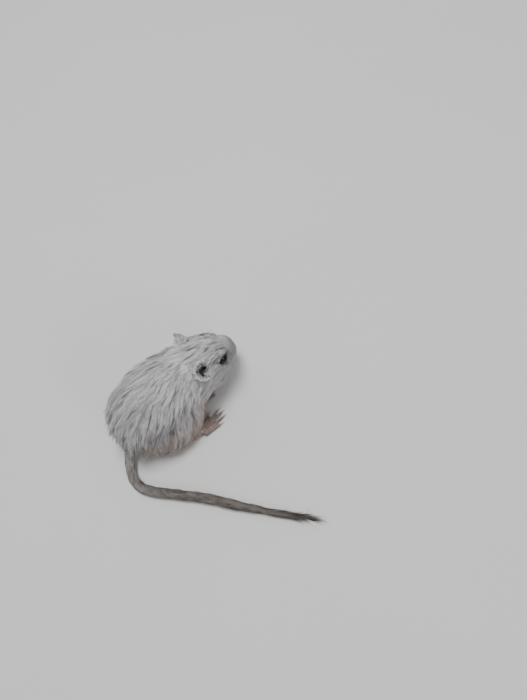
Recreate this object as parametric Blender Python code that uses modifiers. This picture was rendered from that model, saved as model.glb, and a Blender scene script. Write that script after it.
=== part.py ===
"""A young gerbil as a still, life-size model, crouched with its hind feet flat and its tail laid round.

Shapes are worked in millimetres and turned to metres as each part is placed.
+X is the way the animal faces, +Y its left side and +Z up. It rests on the floor at Z = 0.
"""

import math
import random

import bmesh
import bpy
import numpy as np
from mathutils import Matrix, Vector

MM = 0.001
GAP = 0.3
SOCKET_ROOM = 0.5
OBJECT_NAME = "gerbil"
BODY_AT = Vector((0.07, 25.42, 0.0))

# Torso, from the rump forward: distance along X, midline Y, underside, top and half width.
TORSO_STATIONS = (
    (-26.0, 6.0, 7.5, 13.5, 3.5),
    (-25.0, 6.0, 4.2, 18.6, 7.2),
    (-22.8, 6.0, 2.0, 23.2, 10.4),
    (-18.8, 5.9, 0.0, 28.0, 13.0),
    (-13.4, 5.5, -0.5, 31.5, 14.9),
    (-6.5, 4.9, 0.5, 33.4, 15.8),
    (0.0, 4.1, 1.5, 33.4, 15.6),
    (7.0, 2.9, 2.6, 32.0, 14.4),
    (13.0, 1.7, 3.6, 29.8, 12.6),
    (19.0, 0.6, 6.5, 27.0, 9.5),
)
TORSO_SQUARENESS = 2.25

# Head, from the nose back: distance behind the nose tip, half width, rise and drop from the nose's axis.
NOSE_TIP = Vector((36.5, -1.4, 8.0))
HEAD_PITCH = math.radians(28.0)
HEAD_YAW = math.radians(-8.0)
HEAD_ROLL = math.radians(2.0)
HEAD_STATIONS = (
    (0.0, 1.5, 1.3, 1.3),
    (1.0, 3.1, 2.8, 2.5),
    (3.2, 5.2, 5.2, 3.8),
    (6.0, 7.2, 7.6, 5.0),
    (9.0, 8.5, 9.6, 6.0),
    (12.5, 9.7, 11.1, 7.0),
    (16.5, 11.1, 11.8, 8.0),
    (21.0, 11.5, 11.7, 8.8),
    (26.0, 11.2, 10.2, 9.2),
    (31.0, 10.2, 8.2, 9.5),
)
HEAD_SQUARENESS = 2.1
CHEEK_AT = (16.0, 6.0, -4.0)
CHEEK_RADII = (7.0, 5.4, 5.4)
BROW_AT = (14.6, 5.3, 8.2)
BROW_RADII = (6.5, 2.9, 2.6)

EYE_AT = (12.9, 5.8, 7.2)
EYE_RADIUS = 2.9
LID_THICKNESS = 0.65
# The opening between the lids: how far it is turned up and forward from the side of the head, and how far out
# from the middle of the eye its narrow end lies.
LID_TURN_UP = math.radians(14.0)
LID_TURN_FORWARD = math.radians(18.0)
LID_OPENING_OUT = 1.1
LID_OPENING_RADIUS = 2.95
LID_OPENING_FLARE = 0.45

EAR_AT = {1.0: (23.5, 8.7, 8.1), -1.0: (23.4, 8.0, 6.9)}
EAR_AXIS = {1.0: (-3.9, 4.4, 6.4), -1.0: (-4.6, 3.4, 4.6)}
EAR_TURN_UP = 0.75
EAR_TIP_CLOSING = 0.985
EAR_OPENS = 1.5
EAR_BELL = 0.85
EAR_LENGTH = 10.0
EAR_WIDE = 4.6
EAR_NARROW = 2.0
EAR_THICKNESS = 0.8
EAR_ROOT = 2.6
EAR_ROWS = 7
EAR_COLUMNS = 12
# The canal: distance along the ear in root lengths, and radius as a share of the ear's inner one.
CANAL_COURSE = ((-0.8, 0.6), (1.0, 1.0), (2.0, 1.5))
EAR_SPREAD_ROOT = math.radians(135.0)
EAR_SPREAD_FALL = math.radians(60.0)

NOSE_PAD_AT = (0.4, 0.0, 0.4)
NOSE_PAD_RADII = (1.1, 1.5, 1.1)
NOSTRIL_AT = (-0.35, 0.8, 0.5)
NOSTRIL_RADII = (0.9, 0.32, 0.5)
NOSTRIL_TURN = math.radians(25.0)
# The line of the mouth: distance behind the nose tip and height. The lips run beside it, half sunk in.
MOUTH_ROUTE = ((1.2, -1.6), (2.8, -2.3), (4.8, -2.9), (6.8, -3.0))
MOUTH_START = (0.3, 0.2, -1.2)
MOUTH_RADIUS = 0.42
MOUTH_PROUD = 0.1
LIP_RADIUS = 0.75
CLEFT_ROUTE = ((-0.5, 0.0, -0.3), (0.0, 0.0, -1.1), (0.6, 0.0, -2.0))
CLEFT_RADIUS = 0.3

# Limbs are placed by their distance along X, out from the midline there, and up.
THIGH_AT = (-5.0, 12.0, 8.8)
THIGH_RADII = (14.2, 7.4, 10.2)
THIGH_LEAN = math.radians(12.0)
HAUNCH_AT = (-14.5, 7.8, 7.2)
HAUNCH_RADII = (8.0, 5.8, 6.8)
THIGH_CUT_AT = (-4.4, 12.6, 8.8)
THIGH_CUT_RADII = (13.8, 8.6, 11.4)

SHOULDER_AT = (8.0, 7.8, 12.0)
SHOULDER_RADII = (6.5, 5.0, 7.5)

HIND_HEEL_ALONG = -11.0
HIND_HEEL_OUT = {1.0: 12.6, -1.0: 14.8}
HIND_FOOT_LENGTH = 24.0
HIND_FOOT_SPLAY = {1.0: math.radians(11.0), -1.0: math.radians(20.0)}
HIND_TOES = ((-2.6, 4.4, -22.0), (-1.5, 8.0, -7.0), (-0.2, 8.8, 0.0), (1.2, 8.2, 7.0), (2.3, 5.0, 20.0))
# The sole along its length: share of the way to the toes, height of its middle and radius.
HIND_SOLE = ((0.0, 1.9, 1.7), (0.12, 1.7, 2.0), (0.5, 1.5, 2.0), (0.85, 1.3, 2.5), (1.08, 1.1, 2.2))
HIND_SOLE_FLATNESS = 0.78
# The flatter room over the toes, in the same terms.
HIND_TOE_ROOM = ((0.8, 1.1, 2.9), (1.0, 1.1, 3.4), (1.3, 0.9, 3.8), (1.75, 0.7, 4.3))
HIND_TOE_ROOM_FLATNESS = 0.52
TOE_RADIUS = 0.78
# A toe and a claw along their length: share of it, height and radius in toe radii.
TOE_ARCH = ((-0.15, 1.5, 1.25), (0.3, 1.45, 1.05), (0.62, 1.15, 1.0), (1.0, 0.72, 0.8))
CLAW_ARCH = ((-0.35, 0.85, 0.5), (0.45, 1.15, 0.4), (1.0, 0.75, 0.22), (1.35, 0.3, 0.1))
CLAW_LENGTH = 1.7

FORE_SHOULDER = (7.5, 7.6, 11.0)
FORE_ELBOW = (5.0, 8.4, 5.8)
FORE_WRIST = (10.0, 6.6, 1.9)
FORE_RADII = (2.9, 2.3, 1.7)
FORE_PAW_AT = (11.6, 6.2, 1.2)
FORE_TOES_START = 1.4
FORE_PAW_RADII = (2.3, 2.0, 1.5)
FORE_TOES = ((-1.4, 2.6, -20.0), (-0.5, 3.3, -6.0), (0.5, 3.3, 6.0), (1.4, 2.6, 20.0))
FORE_TOE_RADIUS = 0.6
FORE_CLAW_LENGTH = 1.2
FORE_SPLAY = math.radians(-6.0)

TAIL_ROUTE = (
    (-20.0, 7.0, 8.6),
    (-26.2, 4.4, 5.2),
    (-32.6, -1.2, 2.3),
    (-35.3, -8.5, 2.0),
    (-33.6, -15.2, 2.0),
    (-27.6, -24.5, 2.0),
    (-20.7, -35.0, 2.0),
    (-14.0, -46.8, 1.9),
    (-7.5, -58.2, 1.7),
    (0.2, -70.6, 1.2),
    (5.6, -78.6, 0.75),
)
TAIL_RADII = (3.1, 2.6, 2.25, 2.15, 2.15, 2.15, 2.1, 2.0, 1.5, 1.0, 0.4)
TAIL_LENGTHS = ("tail_base", "tail_second", "tail_third", "tail_fourth")
TAIL_LOOK = 0.015
TUFT_START = 0.73

# The locks of the tuft: rows along it and locks round each, their length and half sizes. Each runs by
# share of its length, lift from the tail's middle in tail radii, and width and thickness as shares.
TUFT_ROWS = 4
TUFT_AROUND = 5
TUFT_REACH = 0.135
TUFT_LEAD = 0.012
TUFT_CORE_END = 0.93
LOCK_LENGTH = 10.5
LOCK_HALF_WIDTH = 0.85
LOCK_HALF_THICKNESS = 0.36
LOCK_COURSE = ((0.0, 0.45, 0.8), (0.3, 1.0, 1.0), (0.68, 1.12, 0.8), (1.0, 1.15, 0.16))
LOCK_VARIATION = 0.14
LOCK_PROUD = 0.1
TUFT_SEED = 11

VOXEL = 0.5
BODY_TRIANGLES = 3400
FOOT_VOXEL = 0.3
FOOT_TRIANGLES = 480
PAW_TRIANGLES = 240
EYE_SEGMENTS = 18
TORSO_SIDES = 40
HEAD_SIDES = 36
LEG_SIDES = 14
TAIL_SIDES = 12
CUT_SIDES = 32
LID_SIDES = 20
SHARP_ANGLE = math.radians(40.0)

# Where the body is parted: a point on the midline, the way the cut faces, and its radius.
BODY_CUTS = (
    ((13.2, 1.6, 18.5), (1.0, -0.12, -0.25), 26.0),
    ((6.5, 3.0, 17.0), (1.0, -0.05, -0.1), 30.0),
    ((-14.5, 5.5, 16.0), (1.0, 0.0, 0.22), 30.0),
)
BODY_SEATS = {
    "head": (26.0, -1.0, 14.0),
    "neck": (10.0, 2.2, 17.0),
    "trunk": (-3.0, 4.5, 18.0),
    "rump": (-20.0, 5.8, 12.0),
}

FUR = (0.55, 0.54, 0.53, 1.0)
SKIN = (0.45, 0.33, 0.32, 1.0)
TAIL_FUR = (0.38, 0.36, 0.34, 1.0)
EYE_BLACK = (0.015, 0.012, 0.012, 1.0)
SIDES = {"left": 1.0, "right": -1.0}
FLOOR_BLOCK = 220.0


def clear_scene():
    """Removes whatever the scene holds."""
    for old in list(bpy.data.objects):
        bpy.data.objects.remove(old, do_unlink=True)


def collection(name, hidden=False):
    """A new collection in the scene."""
    made = bpy.data.collections.new(name)
    bpy.context.scene.collection.children.link(made)
    made.hide_render = hidden
    return made


def material(name, colour, roughness):
    """A plain Principled material."""
    made = bpy.data.materials.new(name)
    made.use_nodes = True
    shader = made.node_tree.nodes["Principled BSDF"]
    shader.inputs["Base Color"].default_value = colour
    shader.inputs["Roughness"].default_value = roughness
    shader.inputs["Metallic"].default_value = 0.0
    made.diffuse_color = colour
    return made


def solid(name, bm, home):
    """An object made from a bmesh, which is freed."""
    bmesh.ops.recalc_face_normals(bm, faces=bm.faces)
    mesh = bpy.data.meshes.new(name)
    bm.to_mesh(mesh)
    bm.free()
    made = bpy.data.objects.new(name, mesh)
    home.objects.link(made)
    return made


def bake(shape):
    """Applies the modifiers of an object to its mesh."""
    bpy.context.view_layer.update()
    graph = bpy.context.evaluated_depsgraph_get()
    mesh = bpy.data.meshes.new_from_object(shape.evaluated_get(graph))
    shape.modifiers.clear()
    shape.data = mesh


def combine(shape, others, operation, solver="MANIFOLD"):
    """Joins or cuts a shape with every object of a list, which is then removed."""
    group = bpy.data.collections.new("operands")
    bpy.context.scene.collection.children.link(group)
    for other in others:
        for home in list(other.users_collection):
            home.objects.unlink(other)
        group.objects.link(other)
    boolean = shape.modifiers.new(operation.lower(), "BOOLEAN")
    boolean.operation = operation
    boolean.solver = solver
    boolean.operand_type = "COLLECTION"
    boolean.collection = group
    bake(shape)
    for other in list(group.objects):
        bpy.data.objects.remove(other, do_unlink=True)
    bpy.data.collections.remove(group)


def fuse(name, pieces, voxel, triangles, home, smoothing=6):
    """One closed surface round several overlapping pieces, softened where they meet."""
    bm = bmesh.new()
    for piece in pieces:
        bm.from_mesh(piece.data)
        bpy.data.objects.remove(piece, do_unlink=True)
    shape = solid(name, bm, home)
    remesh = shape.modifiers.new("remesh", "REMESH")
    remesh.mode = "VOXEL"
    remesh.voxel_size = voxel
    soften = shape.modifiers.new("soften", "SMOOTH")
    soften.factor = 0.5
    soften.iterations = smoothing
    bake(shape)
    decimate = shape.modifiers.new("decimate", "DECIMATE")
    decimate.ratio = triangles / (2 * len(shape.data.polygons))
    decimate.use_collapse_triangulate = True
    bake(shape)
    return shape


def smooth_rows(rows, steps):
    """The rows of a table joined by a smooth curve, with some steps from each row to the next."""
    table = np.array(rows, float)
    padded = np.vstack([2 * table[0] - table[1], table, 2 * table[-1] - table[-2]])
    found = []
    for a, b, c, d in zip(padded, padded[1:], padded[2:], padded[3:]):
        for t in np.arange(steps) / steps:
            curve = 2 * b + (c - a) * t + (2 * a - 5 * b + 4 * c - d) * t**2
            found.append(0.5 * (curve + (3 * b - a - 3 * c + d) * t**3))
    found.append(table[-1])
    return found


def oval(centre, side, up, half_width, rise, drop, count, squareness=2.0):
    """A closed ring of points, as high above its centre as rise and as low as drop."""
    points = []
    for k in range(count):
        turn = 2 * math.pi * k / count
        across = half_width * math.copysign(abs(math.cos(turn)) ** (2 / squareness), math.cos(turn))
        height = math.copysign(abs(math.sin(turn)) ** (2 / squareness), math.sin(turn))
        points.append(centre + side * across + up * height * (rise if height > 0 else drop))
    return points


def loft(rings):
    """A closed surface through rings of equal count."""
    bm = bmesh.new()
    loops = [[bm.verts.new(point) for point in ring] for ring in rings]
    for near, far in zip(loops, loops[1:]):
        for k in range(len(near)):
            j = (k + 1) % len(near)
            bm.faces.new((near[k], near[j], far[j], far[k]))
    bm.faces.new(reversed(loops[0]))
    bm.faces.new(loops[-1])
    return bm


def ellipsoid(centre, radii, turn=Matrix(), segments=24):
    """An ellipsoid with its axes turned by a matrix."""
    bm = bmesh.new()
    bmesh.ops.create_uvsphere(bm, u_segments=segments, v_segments=segments // 2, radius=1.0)
    place = Matrix.Translation(centre) @ turn.to_4x4() @ Matrix.Diagonal((*radii, 1.0))
    bmesh.ops.transform(bm, matrix=place, verts=bm.verts)
    return bm


def tube(route, radii, sides, upright=Vector((0.0, 0.0, 1.0)), flatness=1.0, ways=None):
    """A round rod along a route, with a radius at each point and, if given, the way it runs there."""
    rings = []
    for k, (point, radius) in enumerate(zip(route, radii)):
        ahead = ways[k] if ways else route[min(k + 1, len(route) - 1)] - route[max(k - 1, 0)]
        side = upright.cross(ahead).normalized()
        up = ahead.cross(side).normalized()
        rings.append(oval(point, side, up, radius, radius * flatness, radius * flatness, sides))
    return loft(rings)


def head_axes():
    """The head's own forward, left and up directions."""
    forward = Vector(
        (
            math.cos(HEAD_PITCH) * math.cos(HEAD_YAW),
            math.cos(HEAD_PITCH) * math.sin(HEAD_YAW),
            -math.sin(HEAD_PITCH),
        )
    )
    level = Vector((-math.sin(HEAD_YAW), math.cos(HEAD_YAW), 0.0))
    over = forward.cross(level)
    left = level * math.cos(HEAD_ROLL) + over * math.sin(HEAD_ROLL)
    return forward, left, forward.cross(left)


FORWARD, LEFT, UP = head_axes()


def on_head(back, left, up):
    """A place given by its distances behind, left of and above the nose tip, along the head's axes."""
    return NOSE_TIP - FORWARD * back + LEFT * left + UP * up


def head_turn():
    """The turn that takes forward, left and up to the head's axes."""
    return Matrix((FORWARD, LEFT, UP)).transposed()


def midline(x):
    """How far the middle of the body lies to the left at a distance along X."""
    table = np.array(TORSO_STATIONS)
    return float(np.interp(x, table[:, 0], table[:, 1]))


def beside(place, side):
    """A place on one side of the body, given along X, out from the midline there, and up."""
    x, out, z = place
    return Vector((x, midline(x) + side * out, z))


def torso(home):
    """The barrel of the body, from the rump to inside the neck."""
    rings = []
    for x, y, low, high, half_width in smooth_rows(TORSO_STATIONS, 4):
        half_height = (high - low) / 2
        centre = Vector((x, y, low + half_height))
        side, up = Vector((0, 1, 0)), Vector((0, 0, 1))
        section = half_width, half_height, half_height
        rings.append(oval(centre, side, up, *section, TORSO_SIDES, TORSO_SQUARENESS))
    return solid("torso", loft(rings), home)


def skull(home):
    """The head from the nose back into the neck."""
    rings = []
    for back, half_width, rise, drop in smooth_rows(HEAD_STATIONS, 4):
        rings.append(oval(on_head(back, 0, 0), LEFT, UP, half_width, rise, drop, HEAD_SIDES, HEAD_SQUARENESS))
    return solid("skull", loft(rings), home)


def mouth_points(side, above, out):
    """Points along one side of the mouth, set above its line and out from the muzzle."""
    points = []
    for back, height in smooth_rows(MOUTH_ROUTE, 3):
        half_width, rise, drop = head_section(back)
        across = half_width * math.sqrt(max(0.0, 1 - ((height + above) / drop) ** 2)) + out
        points.append(on_head(back, side * across, height + above))
    return points


def head_section(back):
    """The half width, rise and drop of the head at a distance behind the nose tip."""
    table = np.array(HEAD_STATIONS)
    return [float(np.interp(back, table[:, 0], table[:, column])) for column in (1, 2, 3)]


def face_masses(home):
    """Cheeks, brows and lips, which swell from the skull."""
    turn = head_turn()
    pieces = []
    for side in SIDES.values():
        for at, radii in ((CHEEK_AT, CHEEK_RADII), (BROW_AT, BROW_RADII)):
            centre = on_head(at[0], side * at[1], at[2])
            pieces.append(solid("face_mass", ellipsoid(centre, radii, turn), home))
        for above in (LIP_RADIUS, -LIP_RADIUS):
            route = mouth_points(side, above, -LIP_RADIUS / 2)
            pieces.append(solid("lip", tube(route, [LIP_RADIUS] * len(route), 10, UP), home))
    pieces.append(solid("nose_pad", ellipsoid(on_head(*NOSE_PAD_AT), NOSE_PAD_RADII, turn), home))
    return pieces


def limb_masses(home):
    """The swell of each haunch and shoulder."""
    pieces = []
    for side in SIDES.values():
        lean = Matrix.Rotation(side * THIGH_LEAN, 3, "X")
        pieces.append(solid("thigh_mass", ellipsoid(beside(THIGH_AT, side), THIGH_RADII, lean), home))
        haunch = ellipsoid(beside(HAUNCH_AT, side), HAUNCH_RADII)
        pieces.append(solid("haunch_mass", haunch, home))
        shoulder = ellipsoid(beside(SHOULDER_AT, side), SHOULDER_RADII)
        pieces.append(solid("shoulder_mass", shoulder, home))
    return pieces


def floor_cutter(home):
    """A block below the floor, so that what it cuts rests on small flats."""
    bm = bmesh.new()
    bmesh.ops.create_cube(bm, size=FLOOR_BLOCK)
    bmesh.ops.translate(bm, vec=(0.0, 0.0, -FLOOR_BLOCK / 2), verts=bm.verts)
    return solid("floor_cutter", bm, home)


def disc_cutter(at, facing, radius, home):
    """A thin disc that parts what it crosses."""
    bm = bmesh.new()
    bmesh.ops.create_cone(bm, cap_ends=True, segments=CUT_SIDES, radius1=radius, radius2=radius, depth=GAP)
    turn = Vector(facing).to_track_quat("Z", "Y").to_matrix().to_4x4()
    bmesh.ops.transform(bm, matrix=Matrix.Translation(at) @ turn, verts=bm.verts)
    return solid("disc_cutter", bm, home)


def thigh_region(side, home, swell=0.0):
    """The round region of the fused body that is the thigh."""
    lean = Matrix.Rotation(side * THIGH_LEAN, 3, "X")
    radii = [radius + swell for radius in THIGH_CUT_RADII]
    return solid("thigh_region", ellipsoid(beside(THIGH_CUT_AT, side), radii, lean), home)


def eye_centre(side):
    """The middle of an eyeball."""
    return on_head(EYE_AT[0], side * EYE_AT[1], EYE_AT[2])


def gaze(side):
    """The direction in which the opening between the lids faces."""
    out = LEFT * side * math.cos(LID_TURN_UP) + UP * math.sin(LID_TURN_UP)
    return out * math.cos(LID_TURN_FORWARD) + FORWARD * math.sin(LID_TURN_FORWARD)


def ball(name, at, radius, segments, home):
    """A sphere."""
    return solid(name, ellipsoid(at, (radius, radius, radius), Matrix(), segments), home)


def lid_opening(side, home):
    """The widening opening between the lids, which leaves them a sloped edge."""
    reach = LID_OPENING_RADIUS
    wide = LID_OPENING_RADIUS + reach * LID_OPENING_FLARE
    bm = bmesh.new()
    bmesh.ops.create_cone(
        bm, cap_ends=True, segments=LID_SIDES, radius1=LID_OPENING_RADIUS, radius2=wide, depth=reach
    )
    turn = gaze(side).to_track_quat("Z", "Y").to_matrix().to_4x4()
    middle = eye_centre(side) + gaze(side) * (LID_OPENING_OUT + reach / 2)
    bmesh.ops.transform(bm, matrix=Matrix.Translation(middle) @ turn, verts=bm.verts)
    return solid("lid_opening", bm, home)


def ear_axes(side):
    """An ear's own directions: to its tip, across it and out of its cup."""
    back, out, up = EAR_AXIS[side]
    tip = (FORWARD * back + LEFT * side * out + UP * up).normalized()
    across = (UP - LEFT * side * EAR_TURN_UP).normalized()
    across = (across - tip * across.dot(tip)).normalized()
    cup = tip.cross(across).normalized()
    if cup.dot(FORWARD) < 0:
        cup = -cup
    return tip, across, cup


def ear_root(side):
    """The middle of an ear's root."""
    back, out, up = EAR_AT[side]
    return on_head(back, side * out, up)


def ear(side, home, swell=0.0):
    """A thin curled cup, nearly closed at its root and open towards its round tip."""
    tip, across, cup = ear_axes(side)
    root = ear_root(side)
    bm = bmesh.new()
    grid = []
    for v in np.sin(np.linspace(0.0, math.pi / 2, EAR_ROWS + 1)):
        radius = EAR_NARROW + (EAR_WIDE - EAR_NARROW) * math.sin(min(1.0, v * EAR_OPENS) * math.pi / 2)
        closing = math.sqrt(1 - (v * EAR_TIP_CLOSING) ** 3)
        spread = (EAR_SPREAD_ROOT - EAR_SPREAD_FALL * min(1.0, v * EAR_OPENS)) * closing + swell / radius
        along = v * (EAR_LENGTH + 2 * swell) - EAR_ROOT - swell
        centre = root + tip * along + cup * (radius - EAR_NARROW) * EAR_BELL
        row = []
        for angle in np.linspace(-spread, spread, EAR_COLUMNS + 1):
            row.append(bm.verts.new(centre + (across * math.sin(angle) - cup * math.cos(angle)) * radius))
        grid.append(row)
    for low, high in zip(grid, grid[1:]):
        for a, b, c, d in zip(low, low[1:], high[1:], high):
            bm.faces.new((a, b, c, d))
    shape = solid("ear", bm, home)
    thick = shape.modifiers.new("thickness", "SOLIDIFY")
    thick.thickness = EAR_THICKNESS + 2 * swell
    thick.offset = 0.0
    bake(shape)
    return shape


def ear_canal(side, home):
    """The pit inside an ear's root."""
    tip, across, cup = ear_axes(side)
    root = ear_root(side)
    width = EAR_NARROW - EAR_THICKNESS / 2
    route = [root + tip * along * EAR_ROOT for along, share in CANAL_COURSE]
    radii = [width * share for along, share in CANAL_COURSE]
    return solid("ear_canal", tube(route, radii, 16, across), home)


def nostrils(home):
    """The two openings of the nose."""
    pieces = []
    for side in SIDES.values():
        centre = on_head(NOSTRIL_AT[0], side * NOSTRIL_AT[1], NOSTRIL_AT[2])
        turn = head_turn() @ Matrix.Rotation(side * NOSTRIL_TURN, 3, "Z")
        pieces.append(solid("nostril", ellipsoid(centre, NOSTRIL_RADII, turn, 12), home))
    return pieces


def mouth_cutters(home):
    """The line of the mouth on each side, and the cleft from it up to the nose."""
    pieces = []
    for side in SIDES.values():
        back, left, up = MOUTH_START
        route = [on_head(back, side * left, up)] + mouth_points(side, 0.0, MOUTH_PROUD)
        pieces.append(solid("mouth", tube(route, [MOUTH_RADIUS] * len(route), 8, UP), home))
    cleft = [on_head(*place) for place in CLEFT_ROUTE]
    pieces.append(solid("cleft", tube(cleft, [CLEFT_RADIUS] * len(cleft), 8, LEFT), home))
    return pieces


def toe_direction(forward, across, splay):
    """The way a toe points, turned out from the foot's own way by its splay in degrees."""
    turn = math.radians(splay)
    return forward * math.cos(turn) + across * math.sin(turn)


def toe_pieces(root, forward, across, toes, radius, home):
    """Arched toes with round tips. A toe is its place across the foot, its length and its splay."""
    pieces = []
    for place, length, splay in toes:
        way = toe_direction(forward, across, splay)
        route, radii = [], []
        for share, lift, width in TOE_ARCH:
            route.append(root + across * place + way * length * share + Vector((0, 0, lift * radius)))
            radii.append(radius * width)
        pieces.append(solid("toe", tube(route, radii, 10), home))
        pieces.append(solid("toe_tip", ellipsoid(route[-1], [radii[-1]] * 3, Matrix(), 10), home))
    return pieces


def claw_pieces(root, forward, across, toes, radius, length, home):
    """A curved claw at the end of each toe."""
    pieces = []
    for place, reach, splay in toes:
        way = toe_direction(forward, across, splay)
        tip = root + across * place + way * reach
        route, radii = [], []
        for share, height, width in CLAW_ARCH:
            route.append(tip + way * length * share + Vector((0, 0, height * radius)))
            radii.append(width * radius)
        pieces.append(solid("claw", tube(route, radii, 6), home))
    return pieces


def foot_axes(side, splay):
    """The way a foot points, and the way across it, towards the outer side."""
    forward = Vector((math.cos(splay), side * math.sin(splay), 0.0))
    across = Vector((-math.sin(splay), side * math.cos(splay), 0.0))
    return forward, across


def along_foot(side, share, lift=0.0):
    """A place over the midline of a hind foot, at a share of the way from its heel to its toes."""
    forward = foot_axes(side, HIND_FOOT_SPLAY[side])[0]
    heel = beside((HIND_HEEL_ALONG, HIND_HEEL_OUT[side], 0.0), side)
    span = HIND_FOOT_LENGTH - max(toe[1] for toe in HIND_TOES) - CLAW_LENGTH
    return heel + forward * span * share + Vector((0, 0, lift))


def foot_tube(side, rows, sides, flatness, home, swell=0.0):
    """A flattened rod along a hind foot."""
    route = [along_foot(side, share, lift) for share, lift, width in rows]
    radii = [width + swell for share, lift, width in rows]
    return solid("foot_tube", tube(route, radii, sides, flatness=flatness), home)


def heel_ball(side, sides, home, swell=0.0):
    """The round end of a hind foot's sole."""
    share, lift, width = HIND_SOLE[0]
    return ball("heel", along_foot(side, share, lift), width + swell, sides, home)


def hind_foot(side, home):
    """One hind foot as a fused solid with its claws, cut flat where it rests."""
    forward, across = foot_axes(side, HIND_FOOT_SPLAY[side])
    root = along_foot(side, 1.0)
    pieces = [foot_tube(side, HIND_SOLE, 16, HIND_SOLE_FLATNESS, home), heel_ball(side, 16, home)]
    pieces += toe_pieces(root, forward, across, HIND_TOES, TOE_RADIUS, home)
    foot = fuse("hind_foot", pieces, FOOT_VOXEL, FOOT_TRIANGLES, home, 3)
    nails = claw_pieces(root, forward, across, HIND_TOES, TOE_RADIUS, CLAW_LENGTH, home)
    combine(foot, nails, "UNION")
    combine(foot, [floor_cutter(home)], "DIFFERENCE")
    return foot


def hind_foot_socket(side, home):
    """The room that a hind foot takes from the haunch above it, widened for the toes."""
    socket = foot_tube(side, HIND_SOLE, 12, HIND_SOLE_FLATNESS, home, SOCKET_ROOM)
    toe_room = foot_tube(side, HIND_TOE_ROOM, 16, HIND_TOE_ROOM_FLATNESS, home, SOCKET_ROOM)
    combine(socket, [toe_room, heel_ball(side, 12, home, SOCKET_ROOM)], "UNION")
    return socket


def foreleg_route(side):
    """The line of a foreleg from inside the shoulder to the wrist."""
    corners = [beside(corner, side) for corner in (FORE_SHOULDER, FORE_ELBOW, FORE_WRIST)]
    rows = [(*corner, radius) for corner, radius in zip(corners, FORE_RADII)]
    smooth = smooth_rows(rows, 4)
    return [Vector(row[:3]) for row in smooth], [float(row[3]) for row in smooth]


def foreleg(side, home):
    """One foreleg."""
    route, radii = foreleg_route(side)
    return solid("foreleg", tube(route, radii, LEG_SIDES, Vector((0, 1, 0))), home)


def foreleg_socket(side, home):
    """The room that a foreleg takes from the chest."""
    route, radii = foreleg_route(side)
    route[0] = route[0] + (route[0] - route[1]).normalized() * GAP
    wider = [radius + GAP for radius in radii]
    return solid("leg_socket", tube(route, wider, LEG_SIDES, Vector((0, 1, 0))), home)


def forepaw(side, home):
    """One forepaw with its claws, cut flat where it rests."""
    forward, across = foot_axes(side, FORE_SPLAY)
    palm = beside(FORE_PAW_AT, side)
    pieces = [solid("palm", ellipsoid(palm, FORE_PAW_RADII), home)]
    root = Vector((palm.x, palm.y, 0.0)) + forward * FORE_TOES_START
    pieces += toe_pieces(root, forward, across, FORE_TOES, FORE_TOE_RADIUS, home)
    paw = fuse("forepaw", pieces, FOOT_VOXEL, PAW_TRIANGLES, home, 3)
    nails = claw_pieces(root, forward, across, FORE_TOES, FORE_TOE_RADIUS, FORE_CLAW_LENGTH, home)
    combine(paw, nails, "UNION")
    combine(paw, [floor_cutter(home), foreleg_socket(side, home)], "DIFFERENCE")
    return paw


def tail_rows():
    """Places and radii along the whole tail."""
    rows = [(*point, radius) for point, radius in zip(TAIL_ROUTE, TAIL_RADII)]
    return [(Vector(row[:3]), float(row[3])) for row in smooth_rows(rows, 6)]


def tail_place(share):
    """The place and radius at a share of the tail's length."""
    rows = tail_rows()
    steps = [(b[0] - a[0]).length for a, b in zip(rows, rows[1:])]
    target = min(1.0, max(0.0, share)) * sum(steps)
    for (start, thick), (end, thin), step in zip(rows, rows[1:], steps):
        if target <= step:
            break
        target -= step
    mix = min(1.0, target / step)
    return start.lerp(end, mix), thick + (thin - thick) * mix


def tail_way(share):
    """The way the tail runs at a share of its length."""
    return (tail_place(share + TAIL_LOOK)[0] - tail_place(share - TAIL_LOOK)[0]).normalized()


def tail_length(name, first, last, rings, home, swell=0.0):
    """One length of the tail between two shares of the whole, cut flat along the floor."""
    shares = np.linspace(first, last, rings + 1)
    places = [tail_place(share) for share in shares]
    route = [place for place, radius in places]
    radii = [radius + swell for place, radius in places]
    ways = [tail_way(share) for share in shares]
    shape = solid(name, tube(route, radii, TAIL_SIDES, ways=ways), home)
    combine(shape, [floor_cutter(home)], "DIFFERENCE")
    return shape


def tail(home):
    """The tail in lengths that meet end to end, the last of them the tuft."""
    whole = sum((b[0] - a[0]).length for a, b in zip(tail_rows(), tail_rows()[1:]))
    half_gap = GAP / 2 / whole
    count = len(TAIL_LENGTHS)
    found = {}
    for k, name in enumerate(TAIL_LENGTHS):
        first = TUFT_START * k / count + half_gap * (1 if k else 2)
        last = TUFT_START * (k + 1) / count - half_gap
        found[name] = tail_length(name, first, last, 8, home)
    core = tail_length("tail_tuft", TUFT_START + half_gap, TUFT_CORE_END, 6, home)
    combine(core, tuft_locks(whole, home), "UNION")
    combine(core, [floor_cutter(home)], "DIFFERENCE")
    found["tail_tuft"] = largest(loose_parts(core, home))
    return found


def tuft_locks(whole, home):
    """Flat, tapered locks that lie along the tail's end, each row over the roots of the next."""
    draw = random.Random(TUFT_SEED)
    locks = []
    for row in range(TUFT_ROWS):
        start = TUFT_START + TUFT_LEAD + TUFT_REACH * row / (TUFT_ROWS - 1)
        for k in range(TUFT_AROUND):
            angle = 2 * math.pi * (k + row / 2 + draw.uniform(-LOCK_VARIATION, LOCK_VARIATION)) / TUFT_AROUND
            length = LOCK_LENGTH * (1 + draw.uniform(-LOCK_VARIATION, LOCK_VARIATION)) / whole
            locks.append(tuft_lock(start, min(length, 1.0 - start), angle, home))
    return locks


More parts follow.
